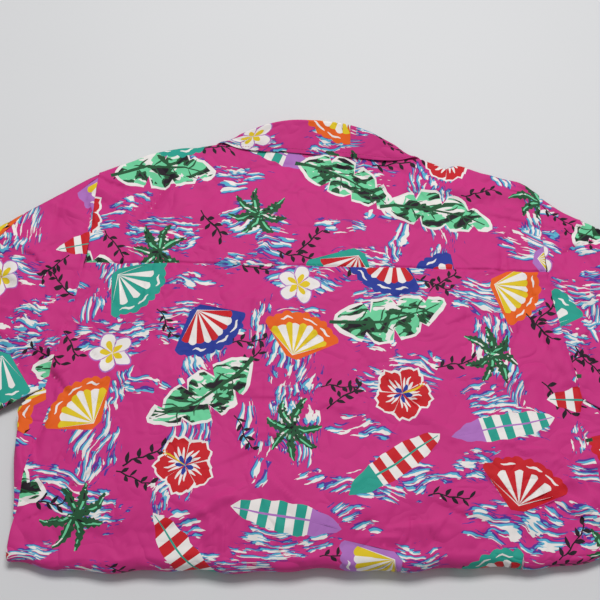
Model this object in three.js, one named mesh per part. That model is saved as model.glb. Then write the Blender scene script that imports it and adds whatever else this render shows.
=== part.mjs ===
// A short-sleeved shirt lying face down on a table, with its lower body folded under.
// Millimetres. X runs across the shirt, +Y towards the collar, +Z up from the table.
// Each piece is a wall of cloth: a middle surface moved out by half the wall on both sides.
import * as THREE from "three";

// Cloth
const WALL = 1.2;
const SEAM = 0.4;
const TABLE = WALL / 2;
const LAYER = WALL + SEAM;
const NORMAL_STEP = 0.002;

// Cut of the shirt as it lies
const YOKE_SEAM_Y = 34;
const PIT_Y = -112;
const FOLD_Y = -272;
const HEM_Y = 5;
const YOKE_FRONT = 25;
const SLEEVE_TOP = 235;
const SLEEVE_UNDER = 125;
const SLEEVE_SLOPE = THREE.MathUtils.degToRad(31.5);
const UNDER_SLOPE = THREE.MathUtils.degToRad(28);
const NECK_HALF = 93;
const NECK_SIDE_Y = 158;
const NECK_FRONT_DROP = 66;
const FALL = 38;
const OVERLAP = 14;

// How the cloth turns at its edges
const EDGE_ROLL = 5;
const SHOULDER_ROLL = 4;
const CORNER = 45;
const CORNER_CUT = 6;
const CORE_SHARE = 0.3;

// The rounded block of hidden layers inside the fold: its ends, its gap below the back, and its
// rings from the bottom up, each by how far it lies inside the outline and its share of the height
const CORE_FRONT = -275;
const CORE_REAR = -90;
const CORE_SIDE = 36;
const CORE_BELOW = 4;
const CORE_SIDES = 48;
const CORE_RINGS = [
  { inset: 70, rise: 0 },
  { inset: 30, rise: 0 },
  { inset: 5, rise: 0 },
  { inset: 0, rise: 0.15 },
  { inset: 0, rise: 0.36 },
  { inset: 5, rise: 0.5 },
  { inset: 0, rise: 0.64 },
  { inset: 0, rise: 0.85 },
  { inset: 5, rise: 1 },
  { inset: 30, rise: 1 },
  { inset: 70, rise: 1 },
];

// The button just below the collar
const BUTTON_R = 5.75;
const BUTTON_THICK = 2.2;
const BUTTON_Y = 78;
const BUTTON_LIFT = 0.3;
const HOLE_R = 0.9;
const HOLE_SPREAD = 1.6;

// The shirt lies a little askew: the neck sways, the bottom fold runs askew, and the right
// shoulder bulges before its sleeve drops. The box around it is centred on the origin
const FOLD_SKEW = 0.032;
const NECK_SWAY = 0.065;
const RIGHT_RISE = { x: 208, half: 32, lift: 4 };
const RIGHT_DROP = { x: 232, width: 45, drop: 7.5 };
const MIDDLE_Y = -38.58;

// Height of the topmost cloth, down the middle of the shirt
const HEIGHTS = [
  { y: -290, top: 31.5 },
  { y: -250, top: 30.5 },
  { y: -180, top: 25.5 },
  { y: -100, top: 20 },
  { y: 0, top: 15.5 },
  { y: 80, top: 12 },
  { y: 150, top: 10 },
  { y: 220, top: 9 },
];
const EDGE_SHARE = 0.62;
const CUFF_SHARE = 0.55;
const CROWN_START = 110;
const CROWN_END = 300;

// Half width of the body, and how far the front shows beyond the side seam
const BODY = [
  { y: -290, half: 291, strip: -6 },
  { y: -256, half: 290, strip: -3 },
  { y: -226, half: 289, strip: 4 },
  { y: -186, half: 295, strip: 13 },
  { y: -155, half: 297, strip: 23 },
  { y: -134, half: 299, strip: 30 },
  { y: -122, half: 292, strip: 20 },
  { y: -112, half: 279, strip: 5.5 },
];

// Rows that the back and the fronts share beside their seam
const SIDE_ROWS = [-88, -112, -117, -122, -128, -134, -144, -155, -170, -186, -206, -226, -238];

// Armhole seam, half width of the body panels there
const ARMHOLE = [
  { y: -112, x: 275 },
  { y: -80, x: 269 },
  { y: -40, x: 261 },
  { y: 0, x: 254 },
  { y: 40, x: 249.5 },
  { y: 90, x: 248 },
  { y: 160, x: 249 },
];

// Shoulder edge, where the yoke turns over to the front
const SHOULDER = [
  { x: 90, y: 180 },
  { x: 115, y: 178.5 },
  { x: 150, y: 174.5 },
  { x: 182, y: 167 },
  { x: 204, y: 158 },
  { x: 226, y: 150.5 },
  { x: 250, y: 140 },
];

// The largest folds of the top cloth: centre, half length, half width, turn in degrees, height
const FOLDS = [
  { x: 290, y: 54, long: 46, wide: 9, turn: -58, lift: -3.6 },
  { x: 279, y: 76, long: 40, wide: 9, turn: -52, lift: 4.2 },
  { x: 297, y: 92, long: 34, wide: 8, turn: -40, lift: -2.8 },
  { x: 288, y: -8, long: 34, wide: 9, turn: -50, lift: -2.6 },
  { x: 300, y: 20, long: 40, wide: 12, turn: -50, lift: 3.0 },
  { x: 250, y: 30, long: 26, wide: 7, turn: -60, lift: 2.6 },
  { x: -186, y: 96, long: 62, wide: 12, turn: 70, lift: -2.2 },
  { x: -166, y: 104, long: 60, wide: 16, turn: 68, lift: 2.2 },
  { x: -280, y: -98, long: 34, wide: 8, turn: -58, lift: -2.6 },
  { x: -268, y: -88, long: 36, wide: 9, turn: -58, lift: 2.8 },
  { x: -284, y: -150, long: 34, wide: 8, turn: -84, lift: -2.4 },
  { x: 160, y: 127, long: 90, wide: 9, turn: -6, lift: -1.8 },
  { x: 168, y: 140, long: 80, wide: 8, turn: -8, lift: 1.8 },
  { x: 200, y: -214, long: 46, wide: 11, turn: -66, lift: 2.4 },
  { x: 182, y: -222, long: 44, wide: 11, turn: -60, lift: -2.2 },
  { x: -240, y: -238, long: 44, wide: 12, turn: 38, lift: 2.4 },
  { x: -222, y: -254, long: 40, wide: 10, turn: 34, lift: -2.2 },
  { x: 40, y: -236, long: 60, wide: 14, turn: 12, lift: 1.8 },
];

// Sections of the collar from the middle of the back to the front edge: x, y and z of the neck
// seam, of the fold on top and of the outer edge of the fall, and the radius of the fold
const COLLAR = [
  { seam: [0, 183, 9.6], fold: [0, 214, 21.5], edge: [0, 175, 11.8], roll: 2.4 },
  { seam: [34, 182.5, 9.6], fold: [30, 212, 21.5], edge: [36, 175, 12], roll: 2.4 },
  { seam: [62, 181, 9.6], fold: [55, 205.5, 20.5], edge: [66, 174, 12], roll: 2.4 },
  { seam: [80, 180, 9.3], fold: [76, 196, 18], edge: [90, 175.5, 12], roll: 2.2 },
  { seam: [90, 180, 7.5], fold: [90, 189.5, 13.5], edge: [107, 181.5, 9.5], roll: 1.8 },
  { seam: [93, 175, 4.4], fold: [90, 183.5, 5], edge: [117, 182.5, 2.1], roll: 1.5 },
  { seam: [92, 164, 3.4], fold: [87.5, 166, 1.9], edge: [124, 168, 0.6], roll: 1.3 },
  { seam: [88.8, 148, 3.2], fold: [86, 149, 1.9], edge: [124, 138, 0.6], roll: 1.3 },
  { seam: [78, 125.2, 3.2], fold: [75.5, 127, 1.9], edge: [108, 100, 0.6], roll: 1.3 },
  { seam: [53.5, 106, 3.2], fold: [52, 109, 1.9], edge: [78, 68, 0.6], roll: 1.3 },
  { seam: [26, 96.4, 3.2], fold: [25.5, 100, 1.9], edge: [52, 44, 0.6], roll: 1.3 },
  { seam: [4, 93.8, 3.2], fold: [4, 97.5, 1.9], edge: [18, 62, 0.6], roll: 1.3 },
];

const clamp01 = (t) => Math.min(1, Math.max(0, t));
const mix = (a, b, t) => a + (b - a) * t;
const smooth = (t) => clamp01(t) ** 2 * (3 - 2 * clamp01(t));

// A smooth curve through one column of a table, over another column that rises.
function curve(rows, over, at, column) {
  const last = rows.length - 1;
  const slope = (i) => {
    const a = rows[Math.max(0, i - 1)];
    const b = rows[Math.min(last, i + 1)];
    return (b[column] - a[column]) / (b[over] - a[over]);
  };
  const x = Math.min(rows[last][over], Math.max(rows[0][over], at));
  const i = Math.min(last - 1, Math.max(0, rows.findIndex((row) => row[over] >= x) - 1));
  const width = rows[i + 1][over] - rows[i][over];
  const t = (x - rows[i][over]) / width;
  const a = rows[i][column];
  const b = rows[i + 1][column];
  return (
    (2 * t ** 3 - 3 * t ** 2 + 1) * a +
    (t ** 3 - 2 * t ** 2 + t) * width * slope(i) +
    (3 * t ** 2 - 2 * t ** 3) * b +
    (t ** 3 - t ** 2) * width * slope(i + 1)
  );
}

// Sizes read from the tables, the same on both sides of the shirt
const armholeX = (y) => curve(ARMHOLE, "y", y, "x");
const bodyHalf = (y) => curve(BODY, "y", y, "half");
const bodyStrip = (y) => curve(BODY, "y", y, "strip");
const shoulderY = (x) => curve(SHOULDER, "x", Math.abs(x), "y");

// One line of the collar's table, as rows with named columns.
const collarLine = (name) =>
  COLLAR.map(({ [name]: [x, y, z], roll }, at) => ({ at, x, y, z, roll }));
const COLLAR_SEAM = collarLine("seam");
const COLLAR_FOLD = collarLine("fold");
const COLLAR_EDGE = collarLine("edge");
const backNeckY = (x) => curve(COLLAR_SEAM.slice(0, 5), "x", Math.abs(x), "y") - SEAM;

// Height of the folds at a place on the top cloth.
function foldHeight(x, y) {
  let z = 0;
  for (const fold of FOLDS) {
    const turn = THREE.MathUtils.degToRad(fold.turn);
    const dx = x - fold.x;
    const dy = y - fold.y;
    const along = (dx * Math.cos(turn) + dy * Math.sin(turn)) / fold.long;
    const across = (dy * Math.cos(turn) - dx * Math.sin(turn)) / fold.wide;
    z += fold.lift * Math.exp(-(along ** 2) - across ** 2);
  }
  return z;
}

// Middle of the topmost cloth without its folds: highest in the middle, lower at the sides.
function plainTop(x, y) {
  const out = Math.abs(x);
  const crown = mix(1, EDGE_SHARE, smooth((out - CROWN_START) / (CROWN_END - CROWN_START)));
  const cuff = mix(1, CUFF_SHARE, smooth((out - CROWN_END) / 100));
  return TABLE + (curve(HEIGHTS, "y", y, "top") - TABLE) * crown * cuff;
}

// Middle of the topmost cloth, always clear of the cloth under it.
function topLevel(x, y) {
  return Math.max(plainTop(x, y) + foldHeight(x, y), underLevel(x, y) + LAYER + 0.6);
}

// How far the collar's fall and the button hold the lowest cloth off the table.
function underLift(x, y) {
  const ring = Math.hypot(x / NECK_HALF, (y - NECK_SIDE_Y) / NECK_FRONT_DROP);
  const reach = (ring - 1) * Math.min(NECK_HALF, NECK_FRONT_DROP);
  const collar = (LAYER + 1) * (1 - smooth((reach - FALL) / 35));
  const near = Math.hypot(x, y - BUTTON_Y) / BUTTON_R;
  const button = (BUTTON_LIFT + BUTTON_THICK + SEAM) * (1 - smooth((near - 1.6) / 1.5));
  return y > -CORNER ? Math.max(collar, button) : 0;
}

// Middle of the cloth under the top cloth: on the table, or inside the fold over the hem.
function underLevel(x, y) {
  const beside = 1 - smooth((Math.abs(x) - bodyHalf(FOLD_Y) - 4) / 40);
  const inside = (1 - CORE_SHARE) * smooth((HEM_Y + 50 - y) / 100) * beside;
  return TABLE + underLift(x, y) + inside * (plainTop(x, y) - TABLE);
}

// The middle of the bottom fold, and how far the fold reaches out and up there
function foldCentre(x) {
  const outward = (Math.abs(x) - bodyHalf(FOLD_Y) + CORNER) / CORNER;
  const y = FOLD_Y + CORNER_CUT * smooth(outward);
  const radius = (topLevel(x, y) - TABLE) / 2;
  return { y, radius, z: TABLE + radius };
}

// A place across the flattened tube of the body: x, and its share of the way up, 1 on top.
function aroundSide(across, half) {
  const flat = half - EDGE_ROLL;
  const a = Math.abs(across);
  const side = Math.sign(across);
  if (a <= flat) return { x: across, share: 1 };
  const angle = (a - flat) / EDGE_ROLL;
  if (angle >= Math.PI) return { x: side * (flat - (angle - Math.PI) * EDGE_ROLL), share: 0 };
  return { x: side * (flat + EDGE_ROLL * Math.sin(angle)), share: (1 + Math.cos(angle)) / 2 };
}

// A place of the shirt as it lies, a little askew.
function laidAskew(x, y, z) {
  const neck = smooth((y - 60) / 120) * (1 - 0.4 * smooth((Math.abs(x) - 95) / 150));
  const foot = smooth((-130 - y) / 150);
  const bulge = RIGHT_RISE.lift * Math.exp(-(((x - RIGHT_RISE.x) / RIGHT_RISE.half) ** 2));
  const drop = RIGHT_DROP.drop * smooth((x - RIGHT_DROP.x) / RIGHT_DROP.width);
  const shoulder = (bulge - drop) * smooth((y - 40) / 80);
  return new THREE.Vector3(x, y - NECK_SWAY * x * neck + FOLD_SKEW * x * foot + shoulder, z);
}

// The share of the way up from the bottom fold to the yoke seam.
const backShare = (y) => (y - FOLD_Y) / (YOKE_SEAM_Y - SEAM / 2 - FOLD_Y);

// The back: share 1 at the yoke seam, 0 where the bottom fold starts, -1 under it, -2 at the hem.
function backPoint(u, share) {
  const seamY = YOKE_SEAM_Y - SEAM / 2;
  if (share > 0) {
    const y = mix(FOLD_Y, seamY, share);
    const armhole = y > PIT_Y;
    const half = armhole ? armholeX(y) + EDGE_ROLL : bodyHalf(y);
    const edge = armhole ? armholeX(y) - SEAM / 2 : bodyHalf(y) - bodyStrip(y) - SEAM / 2;
    const place = aroundSide(u * edge, half);
    const start = foldCentre(place.x).y;
    const laidY = y + (start - FOLD_Y) * (1 - smooth((y - FOLD_Y) / 30));
    return laidAskew(place.x, laidY, mix(underLevel(place.x, laidY), topLevel(place.x, laidY), place.share));
  }
  const half = bodyHalf(FOLD_Y);
  const place = aroundSide(u * (half - bodyStrip(FOLD_Y) - SEAM / 2), half);
  const fold = foldCentre(place.x);
  const depth = mix(1 - 2 * CORE_SHARE, 1, place.share);
  if (share > -1) {
    const angle = -share * Math.PI;
    const reach = fold.radius * depth;
    return laidAskew(place.x, fold.y - reach * Math.sin(angle), fold.z + reach * Math.cos(angle));
  }
  const y = mix(fold.y, HEM_Y, -share - 1);
  const low = TABLE + (1 - place.share) * CORE_SHARE * (plainTop(place.x, y) - TABLE);
  return laidAskew(place.x, y, low);
}

// The yoke: share 0 at the yoke seam, then over the shoulder edge to the front seam.
function yokePoint(u, share) {
  const x = u * (armholeX(YOKE_SEAM_Y + 60) - SEAM / 2);
  const edge = shoulderY(x);
  const start = YOKE_SEAM_Y + SEAM / 2;
  const top = edge - SHOULDER_ROLL - start;
  const roll = Math.PI * SHOULDER_ROLL;
  const under = YOKE_FRONT - SHOULDER_ROLL;
  const shoulder = smooth((Math.abs(x) - NECK_HALF - 1) / 8);
  const way = share * 3;
  const parts = [Math.min(1, way), clamp01(way - 1), clamp01(way - 2)];
  const overShoulder = parts[0] * top + parts[1] * roll + parts[2] * under;
  const toNeck = (backNeckY(x) - start) * (0.97 * parts[0] + 0.015 * parts[1] + 0.015 * parts[2]);
  const run = mix(toNeck, overShoulder, shoulder);
  if (run <= top) return laidAskew(x, start + run, topLevel(x, start + run));
  const angle = Math.min(Math.PI, (run - top) / SHOULDER_ROLL);
  const y = edge - SHOULDER_ROLL + SHOULDER_ROLL * Math.sin(angle) - Math.max(0, run - top - roll);
  const rise = (1 + Math.cos(angle)) / 2;
  return laidAskew(x, y, mix(underLevel(x, y), topLevel(x, y), rise));
}

// A front, on the right for side 1: share 0 at the shoulder and neckline, 1 above the pit, and
// then down the side rows, deep in the fold.
function frontPoint(side, u, share) {
  const inner = side < 0 ? -OVERLAP : SEAM / 2 - OVERLAP;
  const reachTop = armholeX(100) - SEAM / 2;
  const x0 = mix(inner, reachTop, u);
  const ring = 1 - (x0 / NECK_HALF) ** 2;
  const neckline = NECK_SIDE_Y - NECK_FRONT_DROP * Math.sqrt(Math.max(0, ring)) - SEAM;
  const seam = shoulderY(x0) - YOKE_FRONT - 3 * SEAM;
  const top = x0 < NECK_HALF ? Math.min(neckline, seam) : seam;
  const y = share <= 1 ? mix(top, SIDE_ROWS[0], share) : mix(SIDE_ROWS[0], SIDE_ROWS.at(-1), share - 1);
  const tuck = smooth((-35 - y) / 45);
  const from = mix(inner, bodyHalf(y) - 32, tuck);
  if (y > PIT_Y) {
    const x = side * mix(from, armholeX(y) - SEAM / 2, u);
    return laidAskew(x, y, underLevel(x, y) + overlapLift(side, x));
  }
  const half = bodyHalf(y);
  const around = half - EDGE_ROLL + Math.PI * EDGE_ROLL + bodyStrip(y) - EDGE_ROLL - SEAM / 2;
  const place = aroundSide(2 * (half - EDGE_ROLL) + Math.PI * EDGE_ROLL - mix(from, around, u), half);
  const x = side * place.x;
  return laidAskew(x, y, mix(underLevel(x, y), topLevel(x, y), place.share));
}

// The right front lies on the left one where they button.
function overlapLift(side, x) {
  return side > 0 ? (LAYER + 0.2) * (1 - smooth((x - OVERLAP - 4) / 10)) : 0;
}

// Where the sleeve's cuff starts and ends, on the right.
const CUFF_TOP = {
  x: armholeX(140) + SLEEVE_TOP * Math.cos(SLEEVE_SLOPE),
  y: shoulderY(250) - SLEEVE_TOP * Math.sin(SLEEVE_SLOPE),
};
const CUFF_UNDER = {
  x: armholeX(PIT_Y) + SLEEVE_UNDER * Math.cos(UNDER_SLOPE),
  y: PIT_Y - SLEEVE_UNDER * Math.sin(UNDER_SLOPE),
};

// A power that keeps its sign, which squares off a round section.
const squared = (value, power) => Math.sign(value) * Math.abs(value) ** power;

// A sleeve, on the right for side 1: a flat tube. around goes from 0 to 1, out is 1 at the cuff.
function sleevePoint(side, around, out) {
  const turn = around * 2 * Math.PI;
  const down = 0.5 - 0.5 * squared(Math.cos(turn), 0.55);
  const share = 0.5 + 0.5 * squared(Math.sin(turn), 0.35);
  const seamY = mix(shoulderY(250) - SEAM, PIT_Y + 3, down);
  const x = side * mix(armholeX(seamY) + SEAM / 2, mix(CUFF_TOP.x, CUFF_UNDER.x, down), out);
  const y = mix(seamY, mix(CUFF_TOP.y, CUFF_UNDER.y, down), out);
  return laidAskew(x, y, mix(underLevel(x, y), topLevel(x, y), share));
}

// The collar: round from -1 to 1 is one front edge to the other, down is 0 at the seam, 1 at the edge.
function collarPoint(round, down) {
  const station = Math.abs(round) * (COLLAR.length - 1);
  const side = round < 0 ? -1 : 1;
  const read = (line) => {
    const [x, y, z] = ["x", "y", "z"].map((column) => curve(line, "at", station, column));
    return new THREE.Vector3(side * x, y, z);
  };
  const seam = read(COLLAR_SEAM);
  const fold = read(COLLAR_FOLD);
  const edge = read(COLLAR_EDGE);
  const radius = curve(COLLAR_FOLD, "at", station, "roll");
  const middle = seam.clone().add(edge).multiplyScalar(0.5);
  const out = fold.clone().sub(middle).normalize();
  const over = edge.clone().sub(seam);
  over.addScaledVector(out, -over.dot(out)).normalize();
  const turn = Math.PI * clamp01((down - 0.4) / 0.2);
  const turned = fold.addScaledVector(out, -radius * (1 - Math.sin(turn)));
  turned.addScaledVector(over, -radius * Math.cos(turn));
  const point = down < 0.4 ? seam.lerp(turned, down / 0.4) : turned.lerp(edge, clamp01((down - 0.6) / 0.4));
  return laidAskew(point.x, point.y, Math.max(TABLE, point.z));
}

// A closed wall of cloth from a middle surface, by moving its points out on both sides.
function clothWall(pointAt, across, along, closed = false) {
  const corner = (face, row, column) => wallPoint(pointAt, across, along, column, row, closed, face);
  const line = (face, row) => across.map((u, column) => corner(face, row, column));
  const sides = [1, -1].map((face) => along.map((v, row) => line(face, row)));
  const columns = across.length;
  const points = sides.flat(2);
  const at = (face, row, column) => (face * along.length + row) * columns + (column % columns);
  const index = [];
  const quad = (a, b, c, d) => index.push(a, b, c, a, c, d);
  const lastColumn = closed ? columns : columns - 1;
  const lastRow = along.length - 1;
  for (let row = 0; row < lastRow; row++)
    for (let column = 0; column < lastColumn; column++) {
      quad(at(0, row, column), at(0, row, column + 1), at(0, row + 1, column + 1), at(0, row + 1, column));
      quad(at(1, row, column), at(1, row + 1, column), at(1, row + 1, column + 1), at(1, row, column + 1));
    }
  for (let column = 0; column < lastColumn; column++) {
    const next = column + 1;
    quad(at(0, 0, column), at(1, 0, column), at(1, 0, next), at(0, 0, next));
    quad(at(0, lastRow, column), at(0, lastRow, next), at(1, lastRow, next), at(1, lastRow, column));
  }
  for (let row = 0; row < lastRow && !closed; row++) {
    const next = row + 1;
    quad(at(0, row, 0), at(0, next, 0), at(1, next, 0), at(1, row, 0));
    quad(at(0, row, lastColumn), at(1, row, lastColumn), at(1, next, lastColumn), at(0, next, lastColumn));
  }
  return solid(points, index);
}

// A value kept within the ends of a list that rises or falls.
const within = (list, value) =>
  THREE.MathUtils.clamp(value, Math.min(list[0], list.at(-1)), Math.max(list[0], list.at(-1)));

// One corner of the wall: the middle surface's point moved out along its own normal.
function wallPoint(pointAt, across, along, column, row, closed, face) {
  const u = across[column];
  const v = along[row];
  const du = Math.sign(across.at(-1) - across[0]) * NORMAL_STEP;
  const dv = Math.sign(along.at(-1) - along[0]) * NORMAL_STEP;
  const atU = (value) => pointAt(closed ? value : within(across, value), v);
  const atV = (value) => pointAt(u, within(along, value));
  const normal = atU(u + du).sub(atU(u - du)).cross(atV(v + dv).sub(atV(v - dv))).normalize();
  return pointAt(u, v).addScaledVector(normal, (face * WALL) / 2);
}

const steps = (from, to, count) => Array.from({ length: count + 1 }, (_, i) => mix(from, to, i / count));

const shirt = new THREE.Group();
const MAGENTA = 0xc23478;
const BUTTON_COLOUR = 0x8e2a5a;

function add(name, geometry, color = MAGENTA, roughness = 0.85) {
  const mesh = new THREE.Mesh(geometry, new THREE.MeshStandardMaterial({ color, roughness, metalness: 0 }));
  mesh.name = name;
  mesh.position.y = -MIDDLE_Y;
  shirt.add(mesh);
}

// The hidden layers inside the fold: one rounded block with a groove between layers at its edge.
function foldedLayers() {
  const halfX = bodyHalf(FOLD_Y) - CORE_SIDE;
  const halfY = (CORE_REAR - CORE_FRONT) / 2;
  const middleY = (CORE_REAR + CORE_FRONT) / 2;
  const place = (x, y, rise) => laidAskew(x, y, mix(TABLE + LAYER + SEAM, plainTop(x, y) - CORE_BELOW, rise));
  const points = [place(0, middleY, 0)];
  for (const { inset, rise } of CORE_RINGS)
    for (let i = 0; i < CORE_SIDES; i++) {
      const angle = (i / CORE_SIDES) * 2 * Math.PI;
      const x = (halfX - inset) * squared(Math.cos(angle), 0.3);
      points.push(place(x, middleY + (halfY - inset) * squared(Math.sin(angle), 0.3), rise));
    }
  points.push(place(0, middleY, 1));
  const index = [];
  const top = CORE_RINGS.length - 1;
  const at = (ring, i) => 1 + ring * CORE_SIDES + (i % CORE_SIDES);
  for (let i = 0; i < CORE_SIDES; i++) {
    index.push(0, at(0, i + 1), at(0, i), points.length - 1, at(top, i), at(top, i + 1));
    for (let ring = 0; ring < top; ring++) {
      index.push(at(ring, i), at(ring, i + 1), at(ring + 1, i + 1));
      index.push(at(ring, i), at(ring + 1, i + 1), at(ring + 1, i));
    }
  }
  return solid(points, index);
}

// A geometry from its points and the corners of its triangles.
function solid(points, index) {
  const geometry = new THREE.BufferGeometry();
  const numbers = points.flatMap((point) => point.toArray());
  geometry.setAttribute("position", new THREE.Float32BufferAttribute(numbers, 3));
  geometry.setIndex(index);
  geometry.computeVertexNormals();
  return geometry;
}

// A flat button with four holes, lying under the front.
function button() {
  const disc = new THREE.Shape().absarc(0, 0, BUTTON_R, 0, 2 * Math.PI);
  for (const [x, y] of [[1, 1], [-1, 1], [-1, -1], [1, -1]])
    disc.holes.push(new THREE.Path().absarc(x * HOLE_SPREAD, y * HOLE_SPREAD, HOLE_R, 0, 2 * Math.PI, true));
  const shape = { depth: BUTTON_THICK, bevelEnabled: false, curveSegments: 6 };
  const geometry = new THREE.ExtrudeGeometry(disc, shape);
  const at = laidAskew(0, BUTTON_Y, BUTTON_LIFT);
  return geometry.translate(at.x, at.y, at.z);
}

const mirrored = (half) => [...half.slice(1).map((u) => -u).reverse(), ...half];
const backTop = [FOLD_Y, -255, ...[...SIDE_ROWS].reverse(), -64, -40, -15, 10].map(backShare);
const backRows = [...steps(-2, -1, 7), ...steps(-1, 0, 8).slice(1, -1), ...backTop, 1];
const backColumns = [...steps(0, 0.9, 10), 0.95, 0.97, 0.98, 0.99, 1];
add("back", clothWall(backPoint, mirrored(backColumns), backRows));

const yokeColumns = [0, 0.12, 0.24, 0.33, 0.372, 0.385, 0.4, 0.42, 0.5, 0.6, 0.7, 0.8, 0.85, 0.9, 0.95, 1];
const yokeRows = [...steps(0, 1 / 3, 6), ...steps(1 / 3, 2 / 3, 5).slice(1), ...steps(2 / 3, 1, 2).slice(1)];
add("yoke", clothWall(yokePoint, mirrored(yokeColumns), yokeRows));

const neckColumns = [0, 16, 32, 46, 58, 68, 76, 83, 88, 92, 98, 120, 150, 175, 200].map(
  (x) => (x + OVERLAP) / (armholeX(100) + OVERLAP),
);
const frontColumns = [0, ...neckColumns, ...steps(0.86, 0.985, 8), 1];
const sideShare = (y) => 1 + (SIDE_ROWS[0] - y) / (SIDE_ROWS[0] - SIDE_ROWS.at(-1));
const frontRows = [...steps(0, 1, 8), ...SIDE_ROWS.slice(1).map(sideShare)];
for (const [name, side] of [["left", -1], ["right", 1]]) {
  const columns = side < 0 ? [...frontColumns].reverse() : frontColumns;
  add(`front_${name}`, clothWall((u, v) => frontPoint(side, u, v), columns, [...frontRows].reverse()));
  const around = steps(0, 1, 24).slice(0, -1);
  add(`sleeve_${name}`, clothWall((u, v) => sleevePoint(side, side * u, v), around, steps(0, 1, 8), true));
}
add("collar", clothWall(collarPoint, steps(-1, 1, 44), [0, 0.2, 0.38, 0.45, 0.5, 0.55, 0.62, 0.8, 1]));
add("folded_layers", foldedLayers());
add("button_top", button(), BUTTON_COLOUR, 0.35);

export default shirt;
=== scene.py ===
# A short-sleeved printed shirt, lying face down on a pale table with its lower body folded under.
# Sizes are millimetres until a mesh is made: x runs across the shirt, +y to the collar, +z up.
import math
import random

import bpy
import numpy as np
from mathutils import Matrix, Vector
from mathutils.geometry import delaunay_2d_cdt


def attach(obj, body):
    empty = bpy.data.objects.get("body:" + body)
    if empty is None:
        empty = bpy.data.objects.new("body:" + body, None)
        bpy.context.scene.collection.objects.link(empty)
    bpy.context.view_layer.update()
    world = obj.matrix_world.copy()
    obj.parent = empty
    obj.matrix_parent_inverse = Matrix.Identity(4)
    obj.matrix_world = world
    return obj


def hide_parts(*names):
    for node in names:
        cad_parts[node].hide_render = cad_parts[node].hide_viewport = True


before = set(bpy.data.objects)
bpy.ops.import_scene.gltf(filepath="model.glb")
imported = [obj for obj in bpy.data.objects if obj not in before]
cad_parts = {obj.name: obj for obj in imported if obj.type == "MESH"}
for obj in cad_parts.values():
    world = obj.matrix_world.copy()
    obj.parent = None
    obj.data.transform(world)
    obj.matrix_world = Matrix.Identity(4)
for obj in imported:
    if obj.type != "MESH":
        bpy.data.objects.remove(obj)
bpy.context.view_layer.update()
MM = 0.001


# Shape of the shirt, as it lies

def table(names, rows):
    """Rows of numbers as columns by name."""
    return dict(zip(names.split(), np.array(rows, float).T))


TABLE = 0.6
LAYER = 1.6
JOIN = -0.1
CLOTH = 0.25
BACKING_SLACK = 0.9
YOKE_SEAM_Y = 34
PIT_Y = -112
FOLD_Y = -272
HEM_Y = 5
YOKE_FRONT = 25
SLEEVE_TOP = 235
SLEEVE_UNDER = 125
SLEEVE_SLOPE = math.radians(31.5)
UNDER_SLOPE = math.radians(28)
NECK_HALF = 93
NECK_SIDE_Y = 158
NECK_FRONT_DROP = 66
FALL = 38
OVERLAP = 14
EDGE_ROLL = 5
SHOULDER_ROLL = 4
CORNER = 45
CORNER_CUT = 6
CORE_SHARE = 0.3
BUTTON_Y = 78
BUTTON_R = 5.75
BUTTON_RISE = 2.9
FOLD_SKEW = 0.032
FOLD_SAG = 8
FOLD_ROUND = 62
NECK_SWAY = 0.065
RIGHT_RISE = {"x": 208, "half": 32, "lift": 4}
RIGHT_DROP = {"x": 232, "width": 45, "drop": 7.5}
MIDDLE_Y = -38.58
EDGE_SHARE = 0.62
CUFF_SHARE = 0.55
CROWN_START = 110
CROWN_END = 300

HEIGHTS = table("y top", [
    (-290, 31.5), (-250, 30.5), (-180, 25.5), (-100, 20), (0, 15.5), (80, 12), (150, 10), (220, 9),
])
BODY = table("y half strip", [
    (-290, 291, -6),
    (-256, 290, -3),
    (-226, 289, 4),
    (-186, 295, 13),
    (-155, 297, 23),
    (-134, 299, 30),
    (-122, 292, 20),
    (-112, 279, 5.5),
])
ARMHOLE = table("y x", [
    (-112, 275), (-80, 269), (-40, 261), (0, 254), (40, 249.5), (90, 248), (160, 249),
])
SHOULDER = table("x y", [
    (90, 180), (115, 178.5), (150, 174.5), (182, 167), (204, 158), (226, 150.5), (250, 140),
])

# Sections of the collar from the middle of the back to the front edge
COLLAR = table("seam_x seam_y seam_z fold_x fold_y fold_z edge_x edge_y edge_z roll", [
    (0, 183, 9.6, 0, 214, 21.5, 0, 175, 11.8, 2.4),
    (34, 182.5, 9.6, 30, 212, 21.5, 36, 175, 12, 2.4),
    (62, 181, 9.6, 55, 205.5, 20.5, 66, 174, 12, 2.4),
    (80, 180, 9.3, 76, 196, 18, 90, 175.5, 12, 2.2),
    (90, 180, 7.5, 90, 189.5, 13.5, 107, 181.5, 9.5, 1.8),
    (93, 175, 4.4, 90, 183.5, 5, 117, 182.5, 2.1, 1.5),
    (92, 164, 3.4, 87.5, 166, 1.9, 124, 168, 0.6, 1.3),
    (88.8, 148, 3.2, 86, 149, 1.9, 124, 138, 0.6, 1.3),
    (78, 125.2, 3.2, 75.5, 127, 1.9, 108, 100, 0.6, 1.3),
    (53.5, 106, 3.2, 52, 109, 1.9, 78, 68, 0.6, 1.3),
    (26, 96.4, 3.2, 25.5, 100, 1.9, 52, 44, 0.6, 1.3),
    (4, 93.8, 3.2, 4, 97.5, 1.9, 18, 62, 0.6, 1.3),
])
COLLAR["station"] = np.arange(len(COLLAR["roll"]), dtype=float)

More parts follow.
